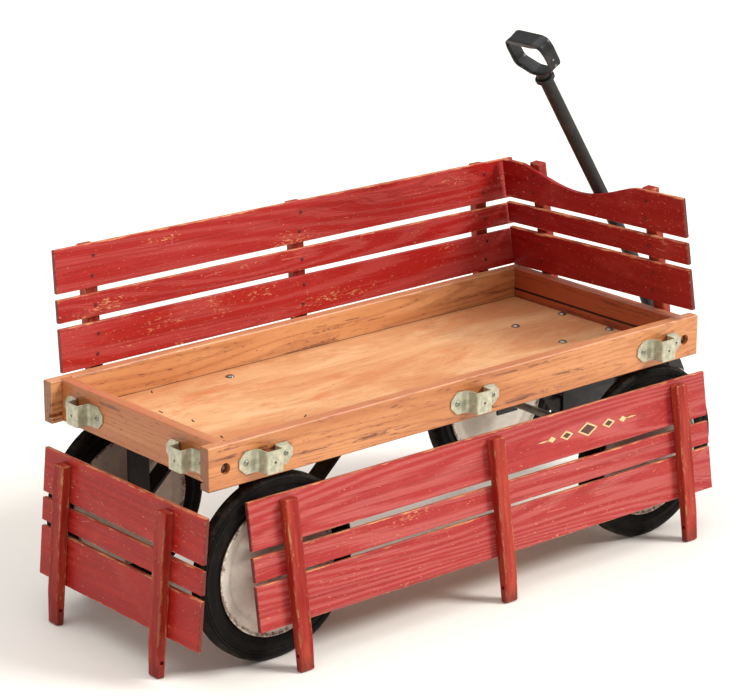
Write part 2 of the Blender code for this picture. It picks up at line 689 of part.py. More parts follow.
# ---- stake-side panels -----------------------------------------------------------
# Panel space: x along the slats from one end, y outwards from the stakes' inner
# faces, z up from the stakes' feet.
SLAT_STAND = Matrix(((1, 0, 0, 0), (0, 0, -1, -GAP / 2 - SLAT_THICK / 2), (0, 1, 0, 0), (0, 0, 0, 1)))


def stake_mesh(centre, height):
    """A stake with a tapered foot."""
    side_view = [(GAP / 2, 0), (STAKE_FOOT_DEPTH, 0), (STAKE_DEPTH, STAKE_TAPER),
                 (STAKE_DEPTH, height), (GAP / 2, height)]
    mesh = outline_mesh(side_view, STAKE_WIDTH)
    turn = Matrix(((0, 0, 1, centre), (1, 0, 0, 0), (0, 1, 0, 0), (0, 0, 0, 1)))
    return transformed(mesh, turn)


def slat_mesh(length, low, high, rise=0.0):
    """A plain slat. rise is how far its low edge climbs by the far end."""
    mesh = outline_mesh([(0, low), (length, low + rise), (length, high), (0, high)], SLAT_THICK)
    return transformed(mesh, SLAT_STAND)


def scallop_mesh(length, low, high):
    """The front panel's top slat, dipped in the middle where the handle rests."""
    steps = 14
    dip = []
    for i in range(steps + 1):
        t = i / steps
        dip.append((SCALLOP_START + SCALLOP_WIDTH * t, high - SCALLOP_DEPTH * math.sin(math.pi * t) ** 1.25))
    outline = [(0, low), (length, low), (length, high)] + dip[::-1] + [(0, high)]
    return transformed(outline_mesh(outline, SLAT_THICK), SLAT_STAND)


def nail_heads(stakes, low, high):
    """Heads of the nails through one slat: two a stake in a wide slat, one in a narrow one."""
    single = screw_mesh(0.0023, 0.0012, sides=6)
    flip = Matrix.Rotation(math.pi, 4, "Z")
    face = -SLAT_THICK - GAP / 2 + 0.0004
    heads = []
    for centre in stakes:
        if high - low > 0.05:
            spots = [(centre - 0.002, low + 0.017), (centre + 0.002, high - 0.017)]
        else:
            spots = [(centre, (low + high) / 2)]
        heads += [transformed(single, Matrix.Translation((x, face, z)) @ flip) for x, z in spots]
    return joined(heads)


def make_panel(name, parent, length, stakes, height, levels, rise=0.0, scallop=False):
    """Three slats nailed to two or three stakes."""
    for label, (low, high) in zip(("bottom_slat", "middle_slat", "top_slat"), levels):
        if scallop and label == "top_slat":
            mesh = scallop_mesh(length, low, high)
        else:
            mesh = slat_mesh(length, low, high, rise if label == "bottom_slat" else 0.0)
        slat = add(name + "_" + label, mesh, "red_paint", parent)
        bevel(slat, 0.0010, angle=60)
        boolean(slat, nail_heads(stakes, low, high), "UNION")
    for number, centre in enumerate(stakes, 1):
        stake = add(name + "_stake_" + str(number), stake_mesh(centre, height), "red_paint", parent)
        bevel(stake, 0.0012, angle=60)
        start = (centre - 0.02, 0.0062, STAKE_HOLE_V)
        stop = (centre + 0.02, 0.0062, STAKE_HOLE_V)
        boolean(stake, cylinder_mesh(STAKE_HOLE_RADIUS, start, stop, 8))


def panel_matrix(origin, along, outward, lean, roll=0.0):
    """Panel space to wagon space. lean tips the top inwards, roll turns it in its plane."""
    s = Vector(along).normalized()
    n = Vector(outward).normalized()
    z = Vector((0, 0, 1))
    a = math.radians(lean)
    v = z * math.cos(a) - n * math.sin(a)
    u = n * math.cos(a) + z * math.sin(a)
    b = math.radians(roll)
    s2 = s * math.cos(b) + v * math.sin(b)
    v2 = v * math.cos(b) - s * math.sin(b)
    m = Matrix((s2, u, v2)).transposed().to_4x4()
    return Matrix.Translation(origin) @ m


def heading(degrees, base):
    """A horizontal direction turned about Z."""
    return Matrix.Rotation(math.radians(degrees), 3, "Z") @ Vector(base)


def mirrored(stakes, length):
    """The same stakes measured from the panel's other end."""
    return [length - c for c in reversed(stakes)]


# ---- assembly --------------------------------------------------------------------
make_side_board("side_board_right", -1)
make_side_board("side_board_left", 1)
make_end_board("end_board_rear", -1)
make_end_board("end_board_front", 1)
make_floor()
make_brackets()
make_rear_gear()
make_bolster()

front_truck = empty("front_truck", wagon, Matrix.Translation((KINGPIN_X, 0, 0)))
make_front_truck(front_truck)
handle_joint = empty("handle", front_truck, Matrix.Translation((PIVOT_X - KINGPIN_X, 0, PIVOT_Z)))
make_handle(handle_joint)
for end_name, wheel_x, wheel_parent in (("rear", REAR_AXLE_X, wagon),
                                        ("front", FRONT_AXLE_X - KINGPIN_X, front_truck)):
    for side_name, sign in (("left", 1), ("right", -1)):
        label = end_name + "_" + side_name + "_wheel"
        place = Matrix.Translation((wheel_x, sign * WHEEL_Y, WHEEL_RADIUS))
        make_wheel(label, empty(label, wheel_parent, place))

# Panels standing in their pockets.
left = panel_matrix((-0.4255, BED_WIDTH / 2 + GAP, 0.2673), (1, 0, 0), (0, 1, 0), -4.4, -0.42)
make_panel("left_panel", empty("left_panel", wagon, left), SIDE_PANEL_LENGTH,
           SIDE_PANEL_STAKES, SIDE_STAKE_HEIGHT, LEFT_LEVELS, rise=LEFT_LOW_EDGE_RISE)

front = panel_matrix((0.4466, 0.1834, 0.2684), (0, -1, 0), (1, 0, 0), 7.5, 2.1)
make_panel("front_panel", empty("front_panel", wagon, front), FRONT_PANEL_LENGTH,
           FRONT_PANEL_STAKES, FRONT_STAKE_HEIGHT, FRONT_LEVELS, scallop=True)

# Panels lifted out and leant against the wheels.
RIGHT_YAW = -0.25
run = heading(RIGHT_YAW, (-1, 0, 0))
foot = Vector((-0.3970, -0.2285, 0.0)) - run * SIDE_PANEL_LENGTH
right = panel_matrix(foot, run, heading(RIGHT_YAW, (0, -1, 0)), 8.4)
make_panel("right_panel", empty("right_panel", wagon, right), SIDE_PANEL_LENGTH,
           mirrored(SIDE_PANEL_STAKES, SIDE_PANEL_LENGTH), SIDE_STAKE_HEIGHT, RIGHT_LEVELS)

rear = panel_matrix((-0.4925, 0.1700 - REAR_PANEL_LENGTH, 0.0), (0, 1, 0), (-1, 0, 0), 5.35)
make_panel("rear_panel", empty("rear_panel", wagon, rear), REAR_PANEL_LENGTH,
           mirrored(REAR_PANEL_STAKES, REAR_PANEL_LENGTH), REAR_STAKE_HEIGHT, REAR_LEVELS)
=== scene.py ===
"""Looks of the kids pull wagon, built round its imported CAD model.

Metres, +Z up, +X towards the pull handle, +Y to the wagon's left.
"""
import json
import math
import random

import bmesh
import bpy
from mathutils import Matrix, Vector


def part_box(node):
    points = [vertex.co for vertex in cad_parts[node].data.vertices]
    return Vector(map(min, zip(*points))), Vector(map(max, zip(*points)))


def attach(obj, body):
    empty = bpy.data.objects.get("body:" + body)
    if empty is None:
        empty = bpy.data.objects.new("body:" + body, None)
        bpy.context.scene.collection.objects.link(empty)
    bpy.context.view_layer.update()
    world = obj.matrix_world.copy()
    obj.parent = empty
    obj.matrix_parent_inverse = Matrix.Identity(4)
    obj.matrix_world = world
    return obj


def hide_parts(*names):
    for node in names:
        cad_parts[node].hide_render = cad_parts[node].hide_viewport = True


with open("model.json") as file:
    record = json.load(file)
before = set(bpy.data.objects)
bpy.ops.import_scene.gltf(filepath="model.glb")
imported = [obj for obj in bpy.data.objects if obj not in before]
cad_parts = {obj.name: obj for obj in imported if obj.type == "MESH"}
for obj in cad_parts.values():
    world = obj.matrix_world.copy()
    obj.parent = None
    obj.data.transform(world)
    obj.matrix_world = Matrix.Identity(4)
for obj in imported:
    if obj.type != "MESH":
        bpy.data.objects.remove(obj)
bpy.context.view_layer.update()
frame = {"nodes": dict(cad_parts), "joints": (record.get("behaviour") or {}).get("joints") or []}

NODES = frame["nodes"]
JOINTS = {j["name"]: j for j in frame["joints"]}
RNG = random.Random(7)
FULL_TURN = 2 * math.pi


def srgb(r, g, b):
    """Screen colour, 0-255, turned linear."""
    def lin(c):
        c = c / 255
        return c / 12.92 if c <= 0.04045 else ((c + 0.055) / 1.055) ** 2.4
    return (lin(r), lin(g), lin(b), 1.0)


# ---- node materials -----------------------------------------------------------
class Shader:
    """A node material under construction. Sockets and plain values can be mixed freely."""

    def __init__(self, name):
        self.mat = bpy.data.materials.new(name)
        self.mat.use_nodes = True
        self.tree = self.mat.node_tree
        self.bsdf = self.tree.nodes["Principled BSDF"]
        coords = self.tree.nodes.new("ShaderNodeTexCoord")
        self.coords = coords.outputs["Object"]

    def put(self, socket, value):
        if isinstance(value, bpy.types.NodeSocket):
            self.tree.links.new(value, socket)
        elif value is not None:
            socket.default_value = value

    def math(self, op, a, b=None, c=None, clamp=False):
        node = self.tree.nodes.new("ShaderNodeMath")
        node.operation = op
        node.use_clamp = clamp
        for socket, value in zip(node.inputs, (a, b, c)):
            self.put(socket, value)
        return node.outputs[0]

    def dot(self, vector, direction, offset=0.0):
        node = self.tree.nodes.new("ShaderNodeVectorMath")
        node.operation = "DOT_PRODUCT"
        self.put(node.inputs[0], vector)
        node.inputs[1].default_value = direction
        return self.math("SUBTRACT", node.outputs["Value"], offset)

    def split(self, vector):
        node = self.tree.nodes.new("ShaderNodeSeparateXYZ")
        self.put(node.inputs[0], vector)
        return node.outputs[0], node.outputs[1], node.outputs[2]

    def join(self, x, y, z):
        node = self.tree.nodes.new("ShaderNodeCombineXYZ")
        for socket, value in zip(node.inputs, (x, y, z)):
            self.put(socket, value)
        return node.outputs[0]

    def scaled(self, vector, scale, offset=(0, 0, 0)):
        node = self.tree.nodes.new("ShaderNodeMapping")
        self.put(node.inputs["Vector"], vector)
        node.inputs["Scale"].default_value = scale
        node.inputs["Location"].default_value = offset
        return node.outputs[0]

    def noise(self, vector, scale=1.0, detail=4.0, rough=0.55, distort=0.0):
        node = self.tree.nodes.new("ShaderNodeTexNoise")
        self.put(node.inputs["Vector"], vector)
        node.inputs["Scale"].default_value = scale
        node.inputs["Detail"].default_value = detail
        node.inputs["Roughness"].default_value = rough
        node.inputs["Distortion"].default_value = distort
        return node.outputs["Fac"]

    def wave(self, vector, scale, distort, detail=2.0, detail_scale=1.0, axis="Z"):
        node = self.tree.nodes.new("ShaderNodeTexWave")
        node.bands_direction = axis
        self.put(node.inputs["Vector"], vector)
        node.inputs["Scale"].default_value = scale
        node.inputs["Distortion"].default_value = distort
        node.inputs["Detail"].default_value = detail
        node.inputs["Detail Scale"].default_value = detail_scale
        return node.outputs["Fac"]

    def ramp(self, fac, low, high):
        """0 below low, 1 above high, smooth between; runs backwards when high < low."""
        node = self.tree.nodes.new("ShaderNodeMapRange")
        node.interpolation_type = "SMOOTHSTEP"
        self.put(node.inputs["Value"], fac)
        flip = high < low
        node.inputs["From Min"].default_value = min(low, high)
        node.inputs["From Max"].default_value = max(low, high)
        node.inputs["To Min"].default_value = 1.0 if flip else 0.0
        node.inputs["To Max"].default_value = 0.0 if flip else 1.0
        return node.outputs["Result"]

    def mix(self, fac, a, b, blend="MIX"):
        node = self.tree.nodes.new("ShaderNodeMix")
        node.data_type = "RGBA"
        node.blend_type = blend
        self.put(node.inputs[0], fac)
        self.put(node.inputs[6], a)
        self.put(node.inputs[7], b)
        return node.outputs[2]

    def finish(self, colour, rough=0.5, metal=0.0, height=None, depth=0.0005, strength=0.5, coat=0.0,
               shine=0.5):
        self.put(self.bsdf.inputs["Base Color"], colour)
        self.put(self.bsdf.inputs["Roughness"], rough)
        self.put(self.bsdf.inputs["Metallic"], metal)
        self.put(self.bsdf.inputs["Coat Weight"], coat)
        self.bsdf.inputs["Specular IOR Level"].default_value = shine
        self.bsdf.inputs["Coat Roughness"].default_value = 0.25
        if height is not None:
            bump = self.tree.nodes.new("ShaderNodeBump")
            bump.inputs["Strength"].default_value = strength
            bump.inputs["Distance"].default_value = depth
            self.put(bump.inputs["Height"], height)
            self.tree.links.new(bump.outputs[0], self.bsdf.inputs["Normal"])
        return self.mat


def paint_node(name, mat):
    """Give a CAD node a material in all of its slots."""
    obj = NODES[name]
    if not obj.material_slots:
        obj.data.materials.append(mat)
    for slot in obj.material_slots:
        slot.material = mat


# ---- measuring the CAD ----------------------------------------------------------
class Slab:
    """The local frame and extents of a board-like CAD node, read from its faces."""

    def __init__(self, node, up=(0, 0, 1), outward=None):
        mesh = NODES[node].data
        mesh.calc_loop_triangles()
        groups = []
        for tri in mesh.loop_triangles:
            n = tri.normal
            for group in groups:
                if abs(group[0].dot(n)) > 0.9995:
                    group[1] += tri.area
                    group[2].append(tri)
                    break
            else:
                groups.append([n.copy(), tri.area, [tri]])
        groups.sort(key=lambda g: -g[1])
        thick = groups[0][0].normalized()
        across = next(g[0] for g in groups[1:] if abs(g[0].dot(thick)) < 0.05)
        across = (across - thick * across.dot(thick)).normalized()
        third = thick.cross(across)
        if outward is not None and thick.dot(Vector(outward)) < 0:
            thick = -thick
        z = across if abs(across.dot(Vector(up))) > abs(third.dot(Vector(up))) else third
        if z.dot(Vector(up)) < 0:
            z = -z
        self.z = z
        self.y = thick
        self.x = thick.cross(z)
        verts = [v.co for v in mesh.vertices]
        self.low = Vector((min(v.dot(a) for v in verts) for a in (self.x, self.y, self.z)))
        self.high = Vector((max(v.dot(a) for v in verts) for a in (self.x, self.y, self.z)))
        faces = [mesh.vertices[t.vertices[0]].co.dot(thick) for t in groups[0][2]]
        self.low.y, self.high.y = min(faces), max(faces)

    def world(self, x, y, z):
        """A point from distances along the slab's own axes, measured from its low corner."""
        return (self.x * (self.low.x + x) + self.y * (self.low.y + y) + self.z * (self.low.z + z))

    def matrix(self, x, y, z):
        m = Matrix((self.x, self.y, self.z)).transposed().to_4x4()
        return Matrix.Translation(self.world(x, y, z)) @ m

    @property
    def size(self):
        return self.high - self.low


def slab_coords(sh, slab):
    """Object coordinates turned to a slab's own axes, from its low corner."""
    parts = [sh.dot(sh.coords, axis, low) for axis, low in zip((slab.x, slab.y, slab.z), slab.low)]
    return parts


def edge_distance(sh, parts, size):
    """Distance to a slab's nearest arris: the middle one of its three face distances."""
    d = [sh.math("MINIMUM", p, sh.math("SUBTRACT", s, p)) for p, s in zip(parts, size)]
    low = sh.math("MINIMUM", d[0], d[1])
    high = sh.math("MAXIMUM", d[0], d[1])
    return sh.math("MAXIMUM", low, sh.math("MINIMUM", high, d[2]))


# ---- materials ------------------------------------------------------------------
def painted_slat(name, node, outward, seed, fresh, faded, chips):
    """Old red paint over softwood: a figure of rings, tan chips and rubbed arrises."""
    slab = Slab(node, outward=outward)
    sh = Shader(name)
    x, y, z = parts = slab_coords(sh, slab)
    moved = sh.scaled(sh.join(x, y, z), (1, 1, 1), (seed * 1.37, seed * 0.73, seed * 0.41))
    # growth rings are the contours of one long, smooth field
    field = sh.noise(sh.scaled(moved, (0.75, 6, 10)), 1.0, 2, 0.4, 0.2)
    fine = sh.noise(sh.scaled(moved, (10, 300, 300)), 1.0, 4, 0.6)
    rings = sh.math("SINE", sh.math("MULTIPLY", field, 120.0))
    lines = sh.math("SINE", sh.math("MULTIPLY", field, 640.0))
    tone = sh.math("ADD", rings, sh.math("MULTIPLY", sh.math("SUBTRACT", fine, 0.5), 5.0))
    tone = sh.ramp(tone, -0.7, 0.9)
    colour = sh.mix(tone, fresh, faded)
    ripple = sh.ramp(sh.noise(sh.scaled(moved, (3, 14, 14)), 1.0, 2, 0.5), 0.42, 0.62)
    ripple = sh.math("MULTIPLY", ripple, sh.ramp(lines, 0.1, 0.9))
    reed = sh.noise(sh.scaled(moved, (1.8, 150, 330)), 1.0, 2, 0.5)
    reed = sh.math("MULTIPLY", sh.ramp(reed, 0.48, 0.66),
                   sh.ramp(sh.noise(sh.scaled(moved, (2.5, 12, 20)), 1.0, 2, 0.5), 0.40, 0.60))
    colour = sh.mix(sh.math("MULTIPLY", reed, 0.46), colour, srgb(134, 16, 16))
    colour = sh.mix(sh.math("MULTIPLY", ripple, 0.42), colour, srgb(140, 10, 10))
    haze = sh.ramp(sh.noise(sh.scaled(moved, (9, 16, 16)), 1.0, 5, 0.7), 0.50, 0.78)
    colour = sh.mix(sh.math("MULTIPLY", haze, 0.30), colour, srgb(204, 92, 82))
    dirt = sh.ramp(sh.noise(sh.scaled(moved, (8, 34, 34)), 1.0, 5, 0.7), 0.60, 0.78)
    colour = sh.mix(sh.math("MULTIPLY", dirt, 0.40), colour, srgb(104, 16, 16))
    # chips down to the wood: many small ones, and a few larger torn patches
    where = sh.ramp(sh.noise(sh.scaled(moved, (6, 20, 20)), 1.0, 3, 0.6), 0.60 - chips, 0.76 - chips)
    small = sh.noise(sh.scaled(moved, (150, 520, 520)), 1.0, 2, 0.6)
    small = sh.ramp(sh.math("ADD", small, sh.math("MULTIPLY", where, 0.13)), 0.675, 0.705)
    torn = sh.noise(sh.scaled(moved, (42, 210, 210)), 1.0, 5, 0.72)
    torn = sh.ramp(sh.math("ADD", torn, sh.math("MULTIPLY", where, 0.10)), 0.675, 0.70)
    top = sh.math("SUBTRACT", slab.size.z, z)
    edge = edge_distance(sh, parts, slab.size)
    rub_noise = sh.noise(sh.scaled(moved, (30, 190, 190)), 1.0, 5, 0.7)
    reach = sh.math("MULTIPLY", sh.math("SUBTRACT", rub_noise, 0.47), sh.mix(sh.ramp(top, 0.004, 0.012),
                    (0.016,) * 3 + (1,), (0.009,) * 3 + (1,)))
    rub = sh.ramp(sh.math("SUBTRACT", reach, edge), -0.0003, 0.0005)
    crown = sh.math("MULTIPLY", sh.ramp(top, 0.0009, 0.0002), sh.ramp(rub_noise, 0.40, 0.56))
    worn = sh.math("MAXIMUM", sh.math("MAXIMUM", small, torn), sh.math("MAXIMUM", rub, crown))
    wood = sh.noise(sh.scaled(moved, (30, 240, 240)), 1.0, 3)
    wood = sh.mix(sh.ramp(wood, 0.35, 0.65), srgb(186, 108, 70), srgb(222, 158, 110))
    colour = sh.mix(sh.math("MULTIPLY", worn, 0.88), colour, wood)
    scratch = sh.noise(sh.scaled(moved, (16, 800, 90)), 1.0, 2, 0.5, 1.2)
    colour = sh.mix(sh.math("MULTIPLY", sh.ramp(scratch, 0.72, 0.76), 0.45), colour, srgb(214, 120, 104))
    end = sh.math("MINIMUM", x, sh.math("SUBTRACT", slab.size.x, x))
    colour = sh.mix(sh.math("MULTIPLY", sh.ramp(end, 0.0012, 0.0002), 0.75), colour, srgb(92, 40, 32))
    height = sh.math("SUBTRACT", sh.math("MULTIPLY", fine, 0.5), sh.math("MULTIPLY", ripple, 0.5))
    height = sh.math("SUBTRACT", height, sh.math("ADD", reed, sh.math("MULTIPLY", worn, 0.6)))
    rough = sh.math("ADD", 0.40, sh.math("MULTIPLY", worn, 0.3))
    rough = sh.math("ADD", rough, sh.math("MULTIPLY", tone, 0.10))
    return sh.finish(colour, rough, 0.0, height, 0.0004, 0.5, shine=0.32)


def painted_stake(name, node, outward, seed, base, rubbed):
    """Red painted hardwood stake with brown rubbed corners."""
    slab = Slab(node, outward=outward)
    sh = Shader(name)
    parts = slab_coords(sh, slab)
    moved = sh.scaled(sh.join(*parts), (1, 1, 1), (seed * 0.57, seed * 1.13, seed * 0.31))
    band = sh.noise(sh.scaled(moved, (60, 60, 6)), 1.0, 5, 0.65)
    colour = sh.mix(sh.ramp(band, 0.35, 0.68), base, rubbed)
    streak = sh.noise(sh.scaled(moved, (380, 380, 16)), 1.0, 3, 0.6)
    colour = sh.mix(sh.math("MULTIPLY", sh.ramp(streak, 0.56, 0.72), 0.5), colour, srgb(96, 18, 16))
    edge = edge_distance(sh, parts, slab.size)
    rub_noise = sh.noise(sh.scaled(moved, (220, 220, 42)), 1.0, 5, 0.7)
    patch = sh.ramp(sh.noise(sh.scaled(moved, (24, 24, 9)), 1.0, 3, 0.6), 0.40, 0.62)
    gate = sh.math("ADD", 0.485, sh.math("MULTIPLY", patch, -0.085))
    reach = sh.math("MULTIPLY", sh.math("SUBTRACT", rub_noise, gate), 0.019)
    rub = sh.ramp(sh.math("SUBTRACT", reach, edge), -0.0002, 0.0010)
    rub_tone = sh.mix(sh.ramp(band, 0.4, 0.6), srgb(150, 88, 52), srgb(200, 140, 92))
    colour = sh.mix(sh.math("MULTIPLY", rub, 0.85), colour, rub_tone)
    fleck = sh.noise(sh.scaled(moved, (420, 420, 110)), 1.0, 3, 0.65)
    fleck = sh.ramp(sh.math("ADD", fleck, sh.math("MULTIPLY", sh.ramp(band, 0.45, 0.7), 0.06)), 0.68, 0.71)
    colour = sh.mix(sh.math("MULTIPLY", fleck, 0.85), colour, srgb(212, 146, 100))
    # darker towards the stake's foot, broken up by noise
    foot = sh.ramp(parts[2], 0.030, 0.0)
    darker_band = sh.math("MULTIPLY", foot, sh.ramp(rub_noise, 0.35, 0.6))
    colour = sh.mix(sh.math("MULTIPLY", darker_band, 0.7), colour, srgb(88, 40, 30))
    height = sh.math("ADD", streak, sh.math("MULTIPLY", rub, -0.5))
    return sh.finish(colour, 0.50, 0.0, height, 0.0004, 0.5, shine=0.25)


HONEY = (srgb(184, 110, 58), srgb(214, 144, 88))
PALE = (srgb(204, 134, 80), srgb(230, 168, 114))
# front board tone: painted shade, the wood darkened to match its shaded inner face
SHADE_DARKENED_TONE = (srgb(134, 50, 22), srgb(164, 74, 38))


def board_material(name, node, along, seed, top, dark, tone=HONEY, kerf=None):
    """Varnished open-grained board: pore ticks, long dark checks, dark end grain and a rubbed rim."""
    sh = Shader(name)
    x, y, z = sh.split(sh.coords)
    inner = y if along == "X" else x
    if along == "Y":
        x, y = y, x
    p = sh.scaled(sh.join(x, y, z), (1, 1, 1), (seed * 1.9, seed * 0.83, seed * 0.37))
    broad = sh.noise(sh.scaled(p, (2.4, 16, 20)), 1.0, 4, 0.55, 0.5)
    colour = sh.mix(sh.ramp(broad, 0.32, 0.66), tone[0], tone[1])
    field = sh.noise(sh.scaled(p, (0.9, 9, 12)), 1.0, 2, 0.45, 0.3)
    rings = sh.ramp(sh.math("SINE", sh.math("MULTIPLY", field, 190.0)), 0.1, 0.95)
    colour = sh.mix(sh.math("MULTIPLY", rings, 0.32), colour, srgb(160, 84, 42))
    ticks = sh.noise(sh.scaled(p, (60, 620, 520)), 1.0, 3, 0.62)
    in_rings = sh.math("ADD", 0.35, sh.math("MULTIPLY", rings, 0.65))
    tick = sh.math("MULTIPLY", sh.ramp(ticks, 0.56, 0.68), in_rings)
    colour = sh.mix(sh.math("MULTIPLY", tick, 0.74), colour, srgb(108, 52, 28))
    # long dark checks that come and go along the grain
    lane = sh.noise(sh.scaled(p, (3.2, 90, 105)), 1.0, 4, 0.62, 0.5)
    break_up = sh.ramp(sh.noise(sh.scaled(p, (26, 60, 60)), 1.0, 4, 0.7), 0.42, 0.56)
    low_down = sh.ramp(z, top - 0.022, top - 0.058)
    lane = sh.math("ADD", lane, sh.math("MULTIPLY", low_down, 0.045))
    check = sh.math("MULTIPLY", sh.ramp(lane, 0.590, 0.650), break_up)
    colour = sh.mix(sh.math("MULTIPLY", check, dark), colour, srgb(92, 36, 24))
    blot = sh.ramp(sh.noise(sh.scaled(p, (7, 30, 30)), 1.0, 5, 0.7), 0.58, 0.76)
    colour = sh.mix(sh.math("MULTIPLY", blot, 0.52), colour, srgb(138, 70, 40))
    ragged = sh.noise(sh.scaled(p, (24, 90, 90)), 1.0, 5, 0.7)
    rim = sh.ramp(sh.math("ADD", z, sh.math("MULTIPLY", ragged, 0.006)), top + 0.0012, top + 0.0032)
    colour = sh.mix(sh.math("MULTIPLY", rim, 0.5), colour, srgb(190, 128, 96))
    stain = sh.math("MULTIPLY", rim, sh.ramp(sh.noise(sh.scaled(p, (9, 130, 30)), 1.0, 3, 0.6), 0.56, 0.68))
    colour = sh.mix(sh.math("MULTIPLY", stain, 0.42), colour, srgb(206, 88, 84))
    mark = sh.ramp(sh.noise(sh.scaled(p, (70, 190, 190)), 1.0, 2, 0.5), 0.735, 0.76)
    colour = sh.mix(sh.math("MULTIPLY", mark, 0.8), colour, srgb(72, 34, 22))
    low_edge = sh.ramp(sh.math("SUBTRACT", z, sh.math("MULTIPLY", ragged, 0.004)), top - 0.0612, top - 0.0626)
    colour = sh.mix(sh.math("MULTIPLY", low_edge, 0.6), colour, srgb(104, 52, 30))
    low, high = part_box(node)
    first, last = (low.x, high.x) if along == "X" else (low.y, high.y)
    end = sh.math("MINIMUM", sh.math("SUBTRACT", x, first), sh.math("SUBTRACT", last, x))
    colour = sh.mix(sh.math("MULTIPLY", sh.ramp(end, 0.0012, 0.0002), 0.72), colour, srgb(98, 48, 28))
    if kerf:
        # the kerf is painted near-black: painted shade inside the groove on the end board's inner face
        level, face, sign = kerf
        off_level = sh.math("ABSOLUTE", sh.math("SUBTRACT", z, level))
        inward = sh.math("MULTIPLY", sh.math("SUBTRACT", inner, face), sign)
        slot = sh.math("MULTIPLY", sh.ramp(off_level, 0.0021, 0.0015), sh.ramp(inward, 0.0030, 0.0026))
        colour = sh.mix(sh.math("MULTIPLY", slot, 0.92), colour, srgb(44, 20, 12))
    height = sh.math("SUBTRACT", sh.math("MULTIPLY", rings, 0.2), sh.math("ADD", tick, check))
    rough = sh.math("ADD", 0.40, sh.math("MULTIPLY", tick, 0.25))
    return sh.finish(colour, rough, 0.0, height, 0.0004, 0.5, coat=0.12)


def floor_material():
    """Bare plywood: cloudy cream and peach figure along its length, blotched by use."""
    sh = Shader("plywood_floor")
    p = sh.coords
    flow = sh.noise(sh.scaled(p, (2.6, 10, 1)), 1.0, 5, 0.6, 1.1)
    colour = sh.mix(sh.ramp(flow, 0.34, 0.64), srgb(196, 130, 84), srgb(216, 168, 120))
    cream = sh.noise(sh.scaled(p, (3.4, 15, 1), (3.1, 1.7, 0)), 1.0, 4, 0.6, 0.9)
    colour = sh.mix(sh.math("MULTIPLY", sh.ramp(cream, 0.50, 0.66), 0.65), colour, srgb(226, 184, 138))
    peach = sh.noise(sh.scaled(p, (7, 16, 1), (1.3, 4.9, 0)), 1.0, 5, 0.7, 0.5)
    colour = sh.mix(sh.math("MULTIPLY", sh.ramp(peach, 0.52, 0.70), 0.70), colour, srgb(200, 116, 68))
    figure = sh.math("SINE", sh.math("MULTIPLY", flow, 160.0))
    colour = sh.mix(sh.math("MULTIPLY", sh.ramp(figure, 0.2, 0.95), 0.14), colour, srgb(176, 108, 64))
    grain = sh.noise(sh.scaled(p, (20, 360, 1)), 1.0, 4, 0.62)
    colour = sh.mix(sh.math("MULTIPLY", sh.ramp(grain, 0.53, 0.70), 0.42), colour, srgb(160, 94, 54))
    grey = sh.ramp(sh.noise(sh.scaled(p, (5, 12, 1), (7.7, 2.2, 0)), 1.0, 6, 0.75), 0.56, 0.76)
    colour = sh.mix(sh.math("MULTIPLY", grey, 0.32), colour, srgb(142, 106, 80))
    scuff = sh.ramp(sh.noise(sh.scaled(p, (60, 60, 1)), 1.0, 5, 0.75, 1.2), 0.66, 0.72)
    colour = sh.mix(sh.math("MULTIPLY", scuff, 0.35), colour, srgb(232, 196, 156))
    spot = sh.ramp(sh.noise(sh.scaled(p, (120, 170, 1)), 1.0, 2, 0.5), 0.73, 0.76)
    colour = sh.mix(sh.math("MULTIPLY", spot, 0.7), colour, srgb(96, 54, 34))
    x, y, _ = sh.split(p)
    low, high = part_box("floor_panel")
    border = sh.math("MINIMUM", sh.math("SUBTRACT", y, low.y + 0.0057),
                     sh.math("SUBTRACT", high.y - 0.0057, y))
    border = sh.math("MINIMUM", border, sh.math("MINIMUM", sh.math("SUBTRACT", x, low.x),
                                                sh.math("SUBTRACT", high.x, x)))
    seam = sh.ramp(border, 0.0022, 0.0008)
    # darker within 16 mm of the floor's border, broken up by its figure
    darker_band = sh.math("MULTIPLY", sh.ramp(border, 0.016, 0.0), sh.ramp(flow, 0.3, 0.6))
    colour = sh.mix(sh.math("MULTIPLY", darker_band, 0.45), colour, srgb(150, 92, 54))
    colour = sh.mix(sh.math("MULTIPLY", seam, 0.85), colour, srgb(70, 36, 20))
    rough = sh.math("ADD", 0.42, sh.math("MULTIPLY", grain, 0.2))
    return sh.finish(colour, rough, 0.0, grain, 0.0003, 0.35)


def metal_paint(name, base, spot, rust, rough=0.45, metal=0.3, scale=1.0, rust_at=0.66, bump=0.3):
    """Aged paint on pressed steel: mottling, pin-prick rust and soft dents."""
    sh = Shader(name)
    p = sh.coords
    mottle = sh.noise(p, 55 * scale, 5, 0.65)
    colour = sh.mix(sh.ramp(mottle, 0.38, 0.66), base, spot)
    pits = sh.noise(p, 420 * scale, 3, 0.6)
    gate = sh.ramp(sh.noise(p, 70 * scale, 3, 0.6), 0.45, 0.65)
    pit = sh.math("MULTIPLY", sh.ramp(pits, rust_at, rust_at + 0.05), gate)
    colour = sh.mix(sh.math("MULTIPLY", pit, 0.8), colour, rust)
    height = sh.math("SUBTRACT", sh.math("MULTIPLY", mottle, 0.6), pit)
    rough_out = sh.math("ADD", rough, sh.math("MULTIPLY", pit, 0.3))
    return sh.finish(colour, rough_out, metal, height, 0.0003, bump)


